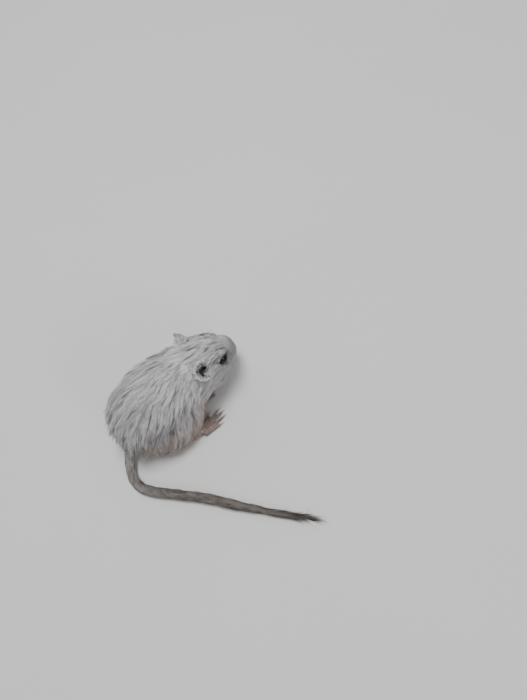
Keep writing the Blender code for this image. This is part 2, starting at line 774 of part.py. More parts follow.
def tuft_lock(start, length, angle, home):
    """One lock from inside the tail outwards and along it, over some shares of the tail's length."""
    rings = []
    for share, lift, breadth in LOCK_COURSE:
        middle, radius = tail_place(start + length * share)
        way = tail_way(start + length * share)
        level = Vector((0, 0, 1)).cross(way).normalized()
        out = level * math.cos(angle) + way.cross(level) * math.sin(angle)
        side = way.cross(out)
        thick = LOCK_HALF_THICKNESS * breadth
        at = middle + out * (radius * lift + LOCK_PROUD * lift)
        rings.append(oval(at, side, out, LOCK_HALF_WIDTH * breadth, thick, thick, 4))
    return solid("lock", loft(rings), home)


def tail_socket(home):
    """The room that the root of the tail takes from the rump."""
    return tail_length("tail_socket", 0.0, TUFT_START / len(TAIL_LENGTHS), 8, home, GAP)


def loose_parts(shape, home):
    """The separate closed surfaces of a mesh, each as its own object."""
    bm = bmesh.new()
    bm.from_mesh(shape.data)
    unseen = set(bm.verts)
    groups = []
    while unseen:
        reached = {unseen.pop()}
        edge = list(reached)
        while edge:
            near = {e.other_vert(v) for v in edge for e in v.link_edges} & unseen
            unseen -= near
            reached |= near
            edge = list(near)
        groups.append([v.index for v in reached])
    bm.free()
    parts = []
    for group in groups:
        piece = bmesh.new()
        piece.from_mesh(shape.data)
        kept = set(group)
        bmesh.ops.delete(piece, geom=[v for v in piece.verts if v.index not in kept], context="VERTS")
        parts.append(solid("part", piece, home))
    bpy.data.objects.remove(shape, do_unlink=True)
    return parts


def body_parts(home):
    """The fused body, parted into its named nodes by thin cuts."""
    pieces = [torso(home), skull(home)] + limb_masses(home) + face_masses(home)
    body = fuse("body", pieces, VOXEL, BODY_TRIANGLES, home)
    lid_radius = EYE_RADIUS + GAP + LID_THICKNESS
    lids = [ball("lids", eye_centre(side), lid_radius, EYE_SEGMENTS, home) for side in SIDES.values()]
    combine(body, lids, "UNION")
    cutters = [floor_cutter(home), tail_socket(home)] + nostrils(home) + mouth_cutters(home)
    for side in SIDES.values():
        cutters.append(ball("eye_socket", eye_centre(side), EYE_RADIUS + GAP, EYE_SEGMENTS, home))
        cutters.append(lid_opening(side, home))
        cutters.append(ear(side, home, GAP))
        cutters.append(ear_canal(side, home))
        cutters.append(hind_foot_socket(side, home))
        cutters.append(foreleg_socket(side, home))
    for cutter in cutters:
        combine(body, [cutter], "DIFFERENCE")
    found = {}
    for label, side in SIDES.items():
        thigh = bpy.data.objects.new("thigh", body.data.copy())
        home.objects.link(thigh)
        combine(thigh, [thigh_region(side, home)], "INTERSECT")
        combine(body, [thigh_region(side, home, GAP)], "DIFFERENCE")
        found["thigh_" + label] = largest(loose_parts(thigh, home))
    for at, facing, radius in BODY_CUTS:
        combine(body, [disc_cutter(at, facing, radius, home)], "DIFFERENCE")
    spare = loose_parts(body, home)
    for name, seat in BODY_SEATS.items():
        near = [part for part in spare if nearest_seat(part) == name]
        found[name] = largest(near)
        spare = [part for part in spare if part not in near]
    return found


def nearest_seat(part):
    """The name of the node whose place is nearest to the middle of a part."""
    middle = sum((vertex.co for vertex in part.data.vertices), Vector()) / len(part.data.vertices)
    return min(BODY_SEATS, key=lambda name: (Vector(BODY_SEATS[name]) - middle).length)


def largest(parts):
    """The part of the greatest volume. The others are removed."""
    sized = sorted(parts, key=volume)
    for scrap in sized[:-1]:
        bpy.data.objects.remove(scrap, do_unlink=True)
    return sized[-1]


def volume(shape):
    """The volume of a closed mesh."""
    bm = bmesh.new()
    bm.from_mesh(shape.data)
    size = abs(bm.calc_volume())
    bm.free()
    return size


def place(shape, name, finish, parent, home):
    """Names a finished part, turns it to metres and stands it about its own middle."""
    for old in list(shape.users_collection):
        old.objects.unlink(shape)
    home.objects.link(shape)
    shape.name = name
    shape.data.name = name
    shape.data.transform(Matrix.Translation(BODY_AT))
    shape.data.transform(Matrix.Scale(MM, 4))
    corners = np.array([corner[:] for corner in shape.bound_box])
    middle = Vector((corners.min(axis=0) + corners.max(axis=0)) / 2)
    shape.data.transform(Matrix.Translation(-middle))
    shape.location = middle
    shape.parent = parent
    shape.data.materials.clear()
    shape.data.materials.append(finish)
    shape.data.shade_smooth()
    shape.data.set_sharp_from_angle(angle=SHARP_ANGLE)


def main():
    clear_scene()
    parts = collection(OBJECT_NAME)
    workshop = collection("workshop")
    stand_in = bpy.data.objects.new(OBJECT_NAME + "_origin", None)
    parts.objects.link(stand_in)
    fur = material("pale_fur", FUR, 0.9)
    skin = material("bare_skin", SKIN, 0.6)
    tail_fur = material("tail_fur", TAIL_FUR, 0.9)
    eye_black = material("eye_black", EYE_BLACK, 0.1)

    nodes = {name: (shape, fur) for name, shape in body_parts(workshop).items()}
    for label, side in SIDES.items():
        eye = ball("eye", eye_centre(side), EYE_RADIUS, EYE_SEGMENTS, workshop)
        nodes["eye_" + label] = (eye, eye_black)
        nodes["ear_" + label] = (ear(side, workshop), skin)
        nodes["foreleg_" + label] = (foreleg(side, workshop), fur)
        nodes["forepaw_" + label] = (forepaw(side, workshop), skin)
        nodes["hind_foot_" + label] = (hind_foot(side, workshop), skin)
    for name, shape in tail(workshop).items():
        nodes[name] = (shape, tail_fur)
    for name, (shape, finish) in nodes.items():
        place(shape, name, finish, stand_in, parts)
    bpy.data.collections.remove(workshop)


main()
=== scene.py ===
"""A young pale gerbil as a still, life-size model: one skin, a coat of tufts, eyes, claws and whiskers.

Shapes are worked in millimetres in the solids' frame and turned to metres as each piece is finished.
+X is the way the animal faces, +Y its left side and +Z up. It rests on the floor at Z = 0.
"""

import logging
import math
from dataclasses import dataclass, field
from enum import Enum

import bmesh
import bpy
import numpy as np
from mathutils import Matrix, Vector
from mathutils.bvhtree import BVHTree
from mathutils.kdtree import KDTree


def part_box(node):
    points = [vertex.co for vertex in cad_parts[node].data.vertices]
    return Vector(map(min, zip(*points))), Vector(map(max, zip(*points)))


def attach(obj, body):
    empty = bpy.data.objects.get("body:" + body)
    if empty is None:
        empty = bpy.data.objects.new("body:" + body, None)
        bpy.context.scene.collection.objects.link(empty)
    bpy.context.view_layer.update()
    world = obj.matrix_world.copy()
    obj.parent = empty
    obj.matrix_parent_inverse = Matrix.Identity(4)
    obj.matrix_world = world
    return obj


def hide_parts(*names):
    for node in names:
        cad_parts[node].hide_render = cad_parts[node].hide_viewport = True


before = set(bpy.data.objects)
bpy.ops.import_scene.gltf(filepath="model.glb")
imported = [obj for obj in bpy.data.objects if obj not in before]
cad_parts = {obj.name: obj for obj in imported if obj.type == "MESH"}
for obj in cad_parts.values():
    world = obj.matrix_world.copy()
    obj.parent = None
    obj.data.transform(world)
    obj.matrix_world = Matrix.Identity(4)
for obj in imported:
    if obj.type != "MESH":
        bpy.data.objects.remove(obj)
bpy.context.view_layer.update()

MM = 0.001
ROOT_BODY = "root"
BAKE_MAP = "OFBake"
FLOOR_CLEARANCE = 0.04
TUFT_CLEARANCE = 0.2
SIDES = {"left": 1.0, "right": -1.0}
UP_WORLD = np.array((0.0, 0.0, 1.0))

logging.basicConfig(level=logging.INFO, format="%(message)s")
log = logging.getLogger("gerbil")


class Slot(Enum):
    """The finishes that the record names."""

    COAT = "coat"
    BARE_SKIN = "bare_skin"
    EYE = "eye"
    TAIL_COAT = "tail_coat"
    CLAW = "claw"


class Region(Enum):
    """The stretches of skin that carry a coat of their own kind."""

    HEAD = 0
    TORSO = 1
    THIGH = 2
    FORELEG = 3
    FOREPAW = 4
    HIND_FOOT = 5
    EAR = 6
    TAIL = 7


FLESH_NODES = {
    "head": Region.HEAD,
    "neck": Region.TORSO,
    "trunk": Region.TORSO,
    "rump": Region.TORSO,
    "thigh_left": Region.THIGH,
    "thigh_right": Region.THIGH,
    "foreleg_left": Region.FORELEG,
    "foreleg_right": Region.FORELEG,
    "forepaw_left": Region.FOREPAW,
    "forepaw_right": Region.FOREPAW,
    "hind_foot_left": Region.HIND_FOOT,
    "hind_foot_right": Region.HIND_FOOT,
    "ear_left": Region.EAR,
    "ear_right": Region.EAR,
}
TAIL_NODES = ("tail_base", "tail_second", "tail_third", "tail_fourth", "tail_tuft")


def unit(vectors: np.ndarray) -> np.ndarray:
    """Vectors at length one.

    Args:
        vectors: Rows of vectors, or one vector.

    Returns:
        The same vectors, each divided by its length.
    """
    return vectors / np.maximum(np.linalg.norm(vectors, axis=-1, keepdims=True), 1e-9)


def flat_on(vectors: np.ndarray, normals: np.ndarray) -> np.ndarray:
    """Directions laid into the surface.

    Args:
        vectors: Directions, one a row.
        normals: The surface's normal at each of them.

    Returns:
        Unit directions square to the normals.
    """
    return unit(vectors - normals * (vectors * normals).sum(axis=1, keepdims=True))


def blend(low: float, high: float, values: np.ndarray) -> np.ndarray:
    """A smooth rise from 0 to 1.

    Args:
        low: Where the rise starts.
        high: Where it ends.
        values: The values to read it at.

    Returns:
        Shares between 0 and 1.
    """
    t = np.clip((values - low) / (high - low), 0.0, 1.0)
    return t * t * (3 - 2 * t)


def ripple(points: np.ndarray, size: float, seed: int) -> np.ndarray:
    """Smooth, seeded unevenness in space.

    Args:
        points: Places in millimetres.
        size: The width of a patch in millimetres.
        seed: Which pattern.

    Returns:
        Values of about -1 to 1.
    """
    draw = np.random.default_rng(seed)
    total = np.zeros(len(points))
    waves = 9
    for _ in range(waves):
        way = unit(draw.normal(size=3)) * math.tau / size * draw.uniform(0.6, 1.5)
        total += np.sin(points @ way + draw.uniform(0, math.tau))
    return total / math.sqrt(waves)


def spread(values: np.ndarray, edges: np.ndarray, rounds: int, share: np.ndarray | float) -> np.ndarray:
    """Evens values out along the edges of a mesh.

    Args:
        values: Rows of values, one for each vertex.
        edges: Pairs of vertices.
        rounds: How many times.
        share: How far each vertex moves to its neighbours' mean, for all or for each.

    Returns:
        The evened values.
    """
    found = values.astype(float).reshape(len(values), -1).copy()
    count = len(found)
    degree = np.maximum(np.bincount(edges.ravel(), minlength=count), 1)[:, None]
    weight = share if np.isscalar(share) else share[:, None]
    for _ in range(rounds):
        mean = np.empty_like(found)
        for k in range(found.shape[1]):
            mean[:, k] = np.bincount(edges[:, 0], found[edges[:, 1], k], count)
            mean[:, k] += np.bincount(edges[:, 1], found[edges[:, 0], k], count)
        found += weight * (mean / degree - found)
    return found.reshape(values.shape)


def smooth_course(rows: tuple, steps: int) -> np.ndarray:
    """A smooth curve through the rows of a table.

    Args:
        rows: The rows that it passes through.
        steps: How many steps from each row to the next.

    Returns:
        The rows of the curve.
    """
    table = np.array(rows, float)
    padded = np.vstack([2 * table[0] - table[1], table, 2 * table[-1] - table[-2]])
    found = []
    for a, b, c, d in zip(padded, padded[1:], padded[2:], padded[3:]):
        for t in np.arange(steps) / steps:
            curve = 2 * b + (c - a) * t + (2 * a - 5 * b + 4 * c - d) * t**2
            found.append(0.5 * (curve + (3 * b - a - 3 * c + d) * t**3))
    found.append(table[-1])
    return np.array(found)


def distance_to(points: np.ndarray, route: np.ndarray) -> tuple[np.ndarray, np.ndarray]:
    """How far places are from a line of straight stretches.

    Args:
        points: The places.
        route: The line's corners.

    Returns:
        The distances, and the share of the line's length nearest to each place.
    """
    best = np.full(len(points), np.inf)
    along = np.zeros(len(points))
    steps = np.linalg.norm(np.diff(route, axis=0), axis=1)
    passed = np.concatenate([[0.0], np.cumsum(steps)])
    for k, (start, end) in enumerate(zip(route, route[1:])):
        way = end - start
        t = np.clip((points - start) @ way / max(way @ way, 1e-12), 0.0, 1.0)
        gap = np.linalg.norm(points - start - t[:, None] * way, axis=1)
        nearer = gap < best
        best[nearer] = gap[nearer]
        along[nearer] = (passed[k] + t[nearer] * steps[k]) / passed[-1]
    return best, along


@dataclass(frozen=True)
class Anatomy:
    """The landmarks of the animal, in millimetres from a point on the floor below the shoulders.

    The point is found from the right eye's solid, so that all of them stay with the solids.
    """

    right_eye: tuple[float, float, float] = (27.63, -6.26, 20.23)
    nose: tuple[float, float, float] = (36.5, -1.4, 8.0)
    head_pitch: float = 28.0
    head_yaw: float = -8.0
    head_roll: float = 2.0
    lid_turn_up: float = 14.0
    lid_turn_forward: float = 18.0
    midline: tuple[tuple[float, float], ...] = ((-26.0, 6.0), (-13.0, 5.5), (0.0, 4.1), (13.0, 1.7), (19.0, 0.6))
    barrel_height: float = 16.0
    brow_facing: tuple[float, float, float] = (0.394, 0.878, -0.272)
    brow_out: float = 0.72
    snout_shift: tuple[float, float, float] = (0.8, 1.2, 0.0)

    def origin(self) -> np.ndarray:
        """The point that the landmarks are measured from, in the solids' frame."""
        return self.eye_centre("right") - np.array(self.right_eye)

    def eye_centre(self, side: str) -> np.ndarray:
        """The middle of an eyeball's solid."""
        low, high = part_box("eye_" + side)
        return np.array((low + high) / 2) / MM

    def eye_radius(self) -> float:
        """The radius of an eyeball's solid."""
        low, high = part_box("eye_right")
        return float(max(high - low)) / 2 / MM

    def head_axes(self) -> tuple[np.ndarray, np.ndarray, np.ndarray]:
        """The head's own directions.

        Returns:
            Forward, left and up.
        """
        pitch, yaw, roll = (math.radians(a) for a in (self.head_pitch, self.head_yaw, self.head_roll))
        forward = np.array(
            (math.cos(pitch) * math.cos(yaw), math.cos(pitch) * math.sin(yaw), -math.sin(pitch))
        )
        level = np.array((-math.sin(yaw), math.cos(yaw), 0.0))
        left = level * math.cos(roll) + np.cross(forward, level) * math.sin(roll)
        return forward, left, np.cross(forward, left)

    def on_head(self, back: float, left: float, up: float) -> np.ndarray:
        """A place on the head.

        Args:
            back: Distance behind the nose tip.
            left: Distance to the left of it.
            up: Distance above it, along the head's own axis.

        Returns:
            The place in the solids' frame.
        """
        ahead, side, over = self.head_axes()
        return self.origin() + np.array(self.nose) - ahead * back + side * left + over * up

    def head_places(self, points: np.ndarray) -> np.ndarray:
        """Places as distances behind, left of and above the nose tip."""
        ahead, side, over = self.head_axes()
        return (points - self.on_head(0, 0, 0)) @ np.array((-ahead, side, over)).T

    def gaze(self, side: str) -> np.ndarray:
        """The direction in which the opening between an eye's lids faces."""
        ahead, left, over = self.head_axes()
        up, forward = math.radians(self.lid_turn_up), math.radians(self.lid_turn_forward)
        out = left * SIDES[side] * math.cos(up) + over * math.sin(up)
        return out * math.cos(forward) + ahead * math.sin(forward)

    def brow_way(self, side: str) -> np.ndarray:
        """The direction square to the upper lid's straight edge, which faces out, ahead and a little down."""
        ahead, left, over = self.head_axes()
        forward, out, up = self.brow_facing
        return unit(ahead * forward + left * SIDES[side] * out + over * up)

    def shifted(self, points: np.ndarray) -> np.ndarray:
        """Places of the muzzle moved to where it turns a little to the left.

        Args:
            points: The places.

        Returns:
            The same places, moved most at the nose tip and not at all behind the eyes.
        """
        back = self.head_places(points)[:, 0]
        share = 1 - blend(3.0, 14.0, back)
        for side in SIDES:
            share = share * blend(3.3, 7.0, np.linalg.norm(points - self.eye_centre(side), axis=1))
        return points + share[:, None] * np.array(self.snout_shift)

    def round_the_body(self, points: np.ndarray) -> tuple[np.ndarray, np.ndarray]:
        """Where places lie round the barrel of the body.

        Args:
            points: The places.

        Returns:
            Degrees from the top of the back, up to 180 at the belly, and the side, 1 for left.
        """
        local = points - self.origin()
        table = np.array(self.midline)
        out = local[:, 1] - np.interp(local[:, 0], table[:, 0], table[:, 1])
        return np.degrees(np.arctan2(np.abs(out), local[:, 2] - self.barrel_height)), np.sign(out)


@dataclass(frozen=True)
class TailCourse:
    """The line of the tail from inside the rump to the tips of its tuft, and its radius there."""

    route: tuple[tuple[float, float, float], ...] = (
        (-20.0, 7.0, 8.6),
        (-26.2, 4.4, 5.2),
        (-32.6, -1.2, 2.3),
        (-35.3, -8.5, 2.0),
        (-33.6, -15.2, 2.0),
        (-27.6, -24.5, 2.0),
        (-20.7, -35.0, 2.0),
        (-14.0, -46.8, 1.9),
        (-7.5, -58.2, 1.7),
        (0.2, -70.6, 1.2),
        (5.6, -78.6, 0.75),
    )
    radii: tuple[float, ...] = (3.1, 2.6, 2.25, 2.15, 2.15, 2.15, 2.1, 2.0, 1.5, 1.0, 0.4)
    tuft_start: float = 0.73
    core_end: float = 0.93
    core_thinning: float = 0.12

    def rows(self, anatomy: Anatomy) -> np.ndarray:
        """Places and radii along the whole tail, closely spaced."""
        table = [(*point, radius) for point, radius in zip(self.route, self.radii)]
        rows = smooth_course(tuple(table), 8)
        rows[:, :3] += anatomy.origin()
        return rows

    def core(self, anatomy: Anatomy) -> np.ndarray:
        """The rows up to the end of the flesh, thinner inside the tuft."""
        rows = self.rows(anatomy)
        share = np.linspace(0.0, 1.0, len(rows))
        rows[:, 3] *= 1 - self.core_thinning * blend(self.tuft_start, self.core_end, share)
        return rows[share <= self.core_end]


@dataclass(frozen=True)
class CoatStyle:
    """How the coat of a region grows, in millimetres."""

    depth: float
    length: float
    width: float
    density: float
    clump: float


COAT_STYLES = {
    Region.HEAD: CoatStyle(0.6, 2.6, 0.2, 22.0, 0.3),
    Region.TORSO: CoatStyle(1.25, 6.4, 0.26, 18.0, 0.58),
    Region.THIGH: CoatStyle(1.15, 5.8, 0.26, 17.0, 0.6),
    Region.FORELEG: CoatStyle(0.5, 2.6, 0.2, 16.0, 0.3),
    Region.FOREPAW: CoatStyle(0.03, 0.8, 0.12, 12.0, 0.1),
    Region.HIND_FOOT: CoatStyle(0.03, 0.9, 0.12, 8.0, 0.1),
    Region.EAR: CoatStyle(0.2, 1.6, 0.15, 20.0, 0.1),
    Region.TAIL: CoatStyle(0.5, 3.2, 0.19, 16.0, 0.25),
}
# The coat of the head by the distance behind the nose tip: depth, length, width and density.
HEAD_COAT = (
    (0.0, 0.0, 0.5, 0.1, 4.0),
    (1.5, 0.04, 0.7, 0.12, 22.0),
    (5.0, 0.2, 1.4, 0.14, 36.0),
    (10.0, 0.4, 2.2, 0.17, 30.0),
    (17.0, 0.75, 3.4, 0.21, 22.0),
    (24.0, 1.1, 5.0, 0.26, 15.0),
    (30.0, 1.3, 6.4, 0.29, 12.0),
)
# The same for the lids, with the clumping.
LID_COAT = (0.08, 0.9, 0.12, 30.0, 0.1)


@dataclass(frozen=True)
class FurFinish:
    """Matt hair: slate at its root, partly the undercoat's own colour and partly painted shade deep in the coat,
    pale above, with a warm tint where the coat has one.
    """

    name: str
    root: tuple[float, float, float]
    dark: tuple[float, float, float]
    middle: tuple[float, float, float]
    light: tuple[float, float, float]
    warm: tuple[float, float, float]
    roughness: float = 0.75
    specular: float = 0.25

    def build(self) -> bpy.types.Material:
        """The hair's material, which reads the tufts' own shade, warmth and place along the hair."""
        sheet = NodeSheet(self.name)
        shade, warmth, along = sheet.attribute("coat")
        ramp = sheet.ramp(shade, ((0.0, self.dark), (0.5, self.middle), (1.0, self.light)))
        tinted = sheet.mix(warmth, ramp, self.warm)
        # The dark root is partly painted shade deep in the coat.
        rooted = sheet.mix(sheet.curve(along, 0.0, 0.75), self.root, tinted)
        sheet.shader.inputs["Roughness"].default_value = self.roughness
        sheet.shader.inputs["Specular IOR Level"].default_value = self.specular
        sheet.join(rooted, sheet.shader.inputs["Base Color"])
        return sheet.material


@dataclass(frozen=True)
class SkinFinish:
    """The hide: under-fur where it is furred, mauve-pink where it is bare, and near-black painted shade in its
    creases and pits.
    """

    name: str
    furred: tuple[float, float, float]
    furred_shade: tuple[float, float, float]
    bare: tuple[float, float, float]
    bare_shade: tuple[float, float, float]
    fold_shade: tuple[float, float, float]
    roughness: float = 0.6
    grain: float = 2600.0

    def build(self) -> bpy.types.Material:
        """The hide's material, which reads how furred each place is, how much painted shade its creases and pits
        hold, and how light it is.
        """
        sheet = NodeSheet(self.name)
        furred, dark, shade = sheet.attribute("hide")
        cells = sheet.voronoi(self.grain * 0.55)
        speckle = sheet.noise(self.grain, 3.0)
        grained = sheet.mix(sheet.curve(speckle, 0.3, 0.75), self.bare_shade, self.bare)
        bare = sheet.mix(shade, self.bare_shade, grained)
        hide = sheet.mix(shade, self.furred_shade, self.furred)
        colour = sheet.mix(furred, bare, hide)
        # The near-black mix is painted shade in the creases, the ear canals and at the lids' edge, where it also
        # stands for the lids' own dark rim.
        colour = sheet.mix(dark, colour, self.fold_shade)
        sheet.shader.inputs["Roughness"].default_value = self.roughness
        sheet.shader.inputs["Specular IOR Level"].default_value = 0.35
        sheet.shader.inputs["Subsurface Weight"].default_value = 0.08
        sheet.shader.inputs["Subsurface Radius"].default_value = (0.9, 0.35, 0.25)
        sheet.shader.inputs["Subsurface Scale"].default_value = 0.0008
        sheet.join(colour, sheet.shader.inputs["Base Color"])
        sheet.bump(sheet.add(cells, speckle), 0.35, 0.00006)
        return sheet.material


@dataclass(frozen=True)
class WetFinish:
    """A glossy eye, nearly black, with a faint brown iris."""

    name: str
    pupil: tuple[float, float, float]
    iris: tuple[float, float, float]
    rim: tuple[float, float, float]
    roughness: float = 0.06

    def build(self) -> bpy.types.Material:
        """The eye's material, which reads the distance from the middle of the gaze."""
        sheet = NodeSheet(self.name)
        out, streak, _ = sheet.attribute("gaze")
        stops = ((0.0, self.pupil), (0.42, self.pupil), (0.5, self.iris), (0.8, self.iris), (1.0, self.rim))
        ramp = sheet.ramp(out, stops)
        colour = sheet.mix(streak, ramp, self.pupil)
        sheet.shader.inputs["Roughness"].default_value = self.roughness
        sheet.shader.inputs["Specular IOR Level"].default_value = 0.3
        sheet.join(colour, sheet.shader.inputs["Base Color"])
        return sheet.material


@dataclass(frozen=True)
class HornFinish:
    """Thin, slightly clear horn or whisker, paler towards its tip."""

    name: str
    root: tuple[float, float, float]
    tip: tuple[float, float, float]
    roughness: float = 0.35

    def build(self) -> bpy.types.Material:
        """The horn's material, which reads the place along the piece."""
        sheet = NodeSheet(self.name)
        along, _, _ = sheet.attribute("coat")
        fibre = sheet.noise(3800.0, 2.0)
        colour = sheet.mix(along, self.root, self.tip)
        colour = sheet.mix(sheet.curve(fibre, 0.45, 0.9), colour, self.root)
        sheet.shader.inputs["Roughness"].default_value = self.roughness
        sheet.shader.inputs["Specular IOR Level"].default_value = 0.5
        sheet.join(colour, sheet.shader.inputs["Base Color"])
        return sheet.material


@dataclass(frozen=True)
class FloorFinish:
    """A plain pale studio floor with the faintest unevenness."""

    name: str
    colour: tuple[float, float, float]
    shade: tuple[float, float, float]

    def build(self) -> bpy.types.Material:
        """The floor's material."""
        sheet = NodeSheet(self.name)
        cloud = sheet.noise(9.0, 2.0)
        sheet.join(sheet.mix(cloud, self.shade, self.colour), sheet.shader.inputs["Base Color"])
        sheet.shader.inputs["Roughness"].default_value = 0.85
        return sheet.material


class NodeSheet:
    """A material under construction, with short calls for the nodes that the finishes share."""

    def __init__(self, name: str) -> None:
        """Starts a material with a plain shader."""
        self.material = bpy.data.materials.new(name)
        self.material.use_nodes = True
        self.nodes = self.material.node_tree.nodes
        self.shader = self.nodes["Principled BSDF"]
        self.places = self.nodes.new("ShaderNodeTexCoord").outputs["Object"]

    def join(self, source: bpy.types.NodeSocket, target: bpy.types.NodeSocket) -> None:
        """Links one socket to another."""
        self.material.node_tree.links.new(source, target)

    def feed(self, value: object, target: bpy.types.NodeSocket) -> None:
        """Gives an input a linked socket, a number or a colour.

        Args:
            value: A socket, a number, or the three parts of a colour.
            target: The input.
        """
        if isinstance(value, bpy.types.NodeSocket):
            self.join(value, target)
        elif isinstance(value, tuple):
            target.default_value = (*value, 1.0)
        else:
            target.default_value = value

    def attribute(self, name: str) -> tuple[bpy.types.NodeSocket, ...]:
        """The three parts of a colour attribute of the piece."""
        read = self.nodes.new("ShaderNodeAttribute")
        read.attribute_name = name
        parts = self.nodes.new("ShaderNodeSeparateColor")
        self.join(read.outputs["Color"], parts.inputs["Color"])
        return tuple(parts.outputs[k] for k in range(3))

    def mix(self, share: object, low: object, high: object) -> bpy.types.NodeSocket:
        """A colour between two, by a share."""
        node = self.nodes.new("ShaderNodeMix")
        node.data_type = "RGBA"
        self.feed(share, node.inputs["Factor"])
        self.feed(low, node.inputs["A"] if not isinstance(low, tuple) else node.inputs[6])
        self.feed(high, node.inputs[7])
        return node.outputs[2]

    def curve(self, value: bpy.types.NodeSocket, low: float, high: float) -> bpy.types.NodeSocket:
        """A value stretched so that it runs from 0 to 1 between two of its levels."""
        node = self.nodes.new("ShaderNodeMapRange")
        node.interpolation_type = "SMOOTHSTEP"
        self.join(value, node.inputs["Value"])
        node.inputs["From Min"].default_value = low
        node.inputs["From Max"].default_value = high
        return node.outputs["Result"]

    def ramp(self, value: bpy.types.NodeSocket, stops: tuple) -> bpy.types.NodeSocket:
        """A colour read from a ramp of stops."""
        node = self.nodes.new("ShaderNodeValToRGB")
        self.join(value, node.inputs["Fac"])
        elements = node.color_ramp.elements
        while len(elements) < len(stops):
            elements.new(0.5)
        for element, (place, colour) in zip(elements, stops):
            element.position = place
            element.color = (*colour, 1.0)
        return node.outputs["Color"]

    def noise(self, scale: float, detail: float) -> bpy.types.NodeSocket:
        """Soft cloudy noise in the piece's own place."""
        node = self.nodes.new("ShaderNodeTexNoise")
        self.join(self.places, node.inputs["Vector"])
        node.inputs["Scale"].default_value = scale
        node.inputs["Detail"].default_value = detail
        return node.outputs["Fac"]

    def voronoi(self, scale: float) -> bpy.types.NodeSocket:
        """Small rounded cells, as of fine scales."""
        node = self.nodes.new("ShaderNodeTexVoronoi")
        self.join(self.places, node.inputs["Vector"])
        node.inputs["Scale"].default_value = scale
        return node.outputs["Distance"]

    def add(self, first: bpy.types.NodeSocket, second: bpy.types.NodeSocket) -> bpy.types.NodeSocket:
        """The sum of two values."""
        node = self.nodes.new("ShaderNodeMath")
        self.join(first, node.inputs[0])
        self.join(second, node.inputs[1])
        return node.outputs[0]

    def bump(self, height: bpy.types.NodeSocket, strength: float, distance: float) -> None:
        """Raises the surface by a height."""
        node = self.nodes.new("ShaderNodeBump")
        node.inputs["Strength"].default_value = strength
        node.inputs["Distance"].default_value = distance
        self.join(height, node.inputs["Height"])
        self.join(node.outputs["Normal"], self.shader.inputs["Normal"])


COAT_FUR = FurFinish(
    "silver_fur",
    root=(0.2, 0.19, 0.19),
    dark=(0.17, 0.16, 0.16),
    middle=(0.53, 0.52, 0.52),
    light=(0.91, 0.915, 0.92),
    warm=(0.6, 0.47, 0.38),
)
TAIL_FUR = FurFinish(
    "grey_tail_fur",
    root=(0.12, 0.11, 0.106),
    dark=(0.09, 0.078, 0.07),
    middle=(0.29, 0.28, 0.27),
    light=(0.82, 0.82, 0.815),
    warm=(0.36, 0.27, 0.2),
)
HIDE = SkinFinish(
    "hide",
    furred=(0.6, 0.585, 0.57),
    furred_shade=(0.16, 0.15, 0.148),
    bare=(0.27, 0.19, 0.168),
    bare_shade=(0.17, 0.12, 0.11),
    fold_shade=(0.02, 0.011, 0.013),
)
EYE_WET = WetFinish("wet_eye", (0.003, 0.0025, 0.0025), (0.01, 0.006, 0.005), (0.006, 0.004, 0.004))
CLAW_HORN = HornFinish("claw_horn", (0.3, 0.22, 0.19), (0.62, 0.56, 0.5))
WHISKER_HAIR = HornFinish("whisker_hair", (0.3, 0.29, 0.28), (0.78, 0.77, 0.75), 0.4)
LID_SKIN = SkinFinish(
    "lid_skin",
    furred=(0.1, 0.07, 0.07),
    furred_shade=(0.06, 0.04, 0.04),
    bare=(0.06, 0.042, 0.042),
    bare_shade=(0.04, 0.028, 0.03),
    fold_shade=(0.015, 0.01, 0.01),
)


def finish_piece(
    piece: bpy.types.Object, material: bpy.types.Material, replaces: tuple[str, ...] = ()
) -> bpy.types.Object:
    """Gives a piece its material and body, and hides the solids that it stands for.

    Args:
        piece: The finished object.
        material: Its material.
        replaces: The solids that it stands for.

    Returns:
        The piece.
    """
    piece.data.materials.clear()
    piece.data.materials.append(material)
    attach(piece, ROOT_BODY)
    if replaces:
        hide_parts(*replaces)
    return piece


def object_from(name: str, points: np.ndarray, faces: np.ndarray) -> bpy.types.Object:
    """An object made from arrays in millimetres.

    Args:
        name: The object's name.
        points: The vertices.
        faces: The triangles, as rows of three vertices.

    Returns:
        The object, in metres, linked to the scene.
    """
    mesh = bpy.data.meshes.new(name)
    mesh.vertices.add(len(points))
    mesh.vertices.foreach_set("co", (points * MM).astype(np.float32).ravel())
    mesh.loops.add(faces.size)
    mesh.loops.foreach_set("vertex_index", faces.astype(np.int32).ravel())
    mesh.polygons.add(len(faces))
    mesh.polygons.foreach_set("loop_start", np.arange(0, faces.size, 3, dtype=np.int32))
    mesh.update(calc_edges=True)
    mesh.shade_smooth()
    made = bpy.data.objects.new(name, mesh)
    bpy.context.scene.collection.objects.link(made)
    return made


def object_of(name: str, bm: bmesh.types.BMesh) -> bpy.types.Object:
    """An object made from a bmesh in millimetres, which is freed.

    Args:
        name: The object's name.
        bm: Its shape.

    Returns:
        The object, in metres, linked to the scene.
    """
    bmesh.ops.transform(bm, matrix=Matrix.Scale(MM, 4), verts=bm.verts)
    mesh = bpy.data.meshes.new(name)
    bm.to_mesh(mesh)
    bm.free()
    mesh.shade_smooth()
    made = bpy.data.objects.new(name, mesh)
    bpy.context.scene.collection.objects.link(made)
    return made


def paint(piece: bpy.types.Object, name: str, values: np.ndarray) -> None:
    """Stores three values at each vertex as a colour attribute.

    Args:
        piece: The object.
        name: The attribute's name.
        values: A row of three for each vertex.
    """
    layer = piece.data.attributes.new(name, "FLOAT_COLOR", "POINT")
    rows = np.ones((len(values), 4), np.float32)
    rows[:, :3] = values
    layer.data.foreach_set("color", rows.ravel())


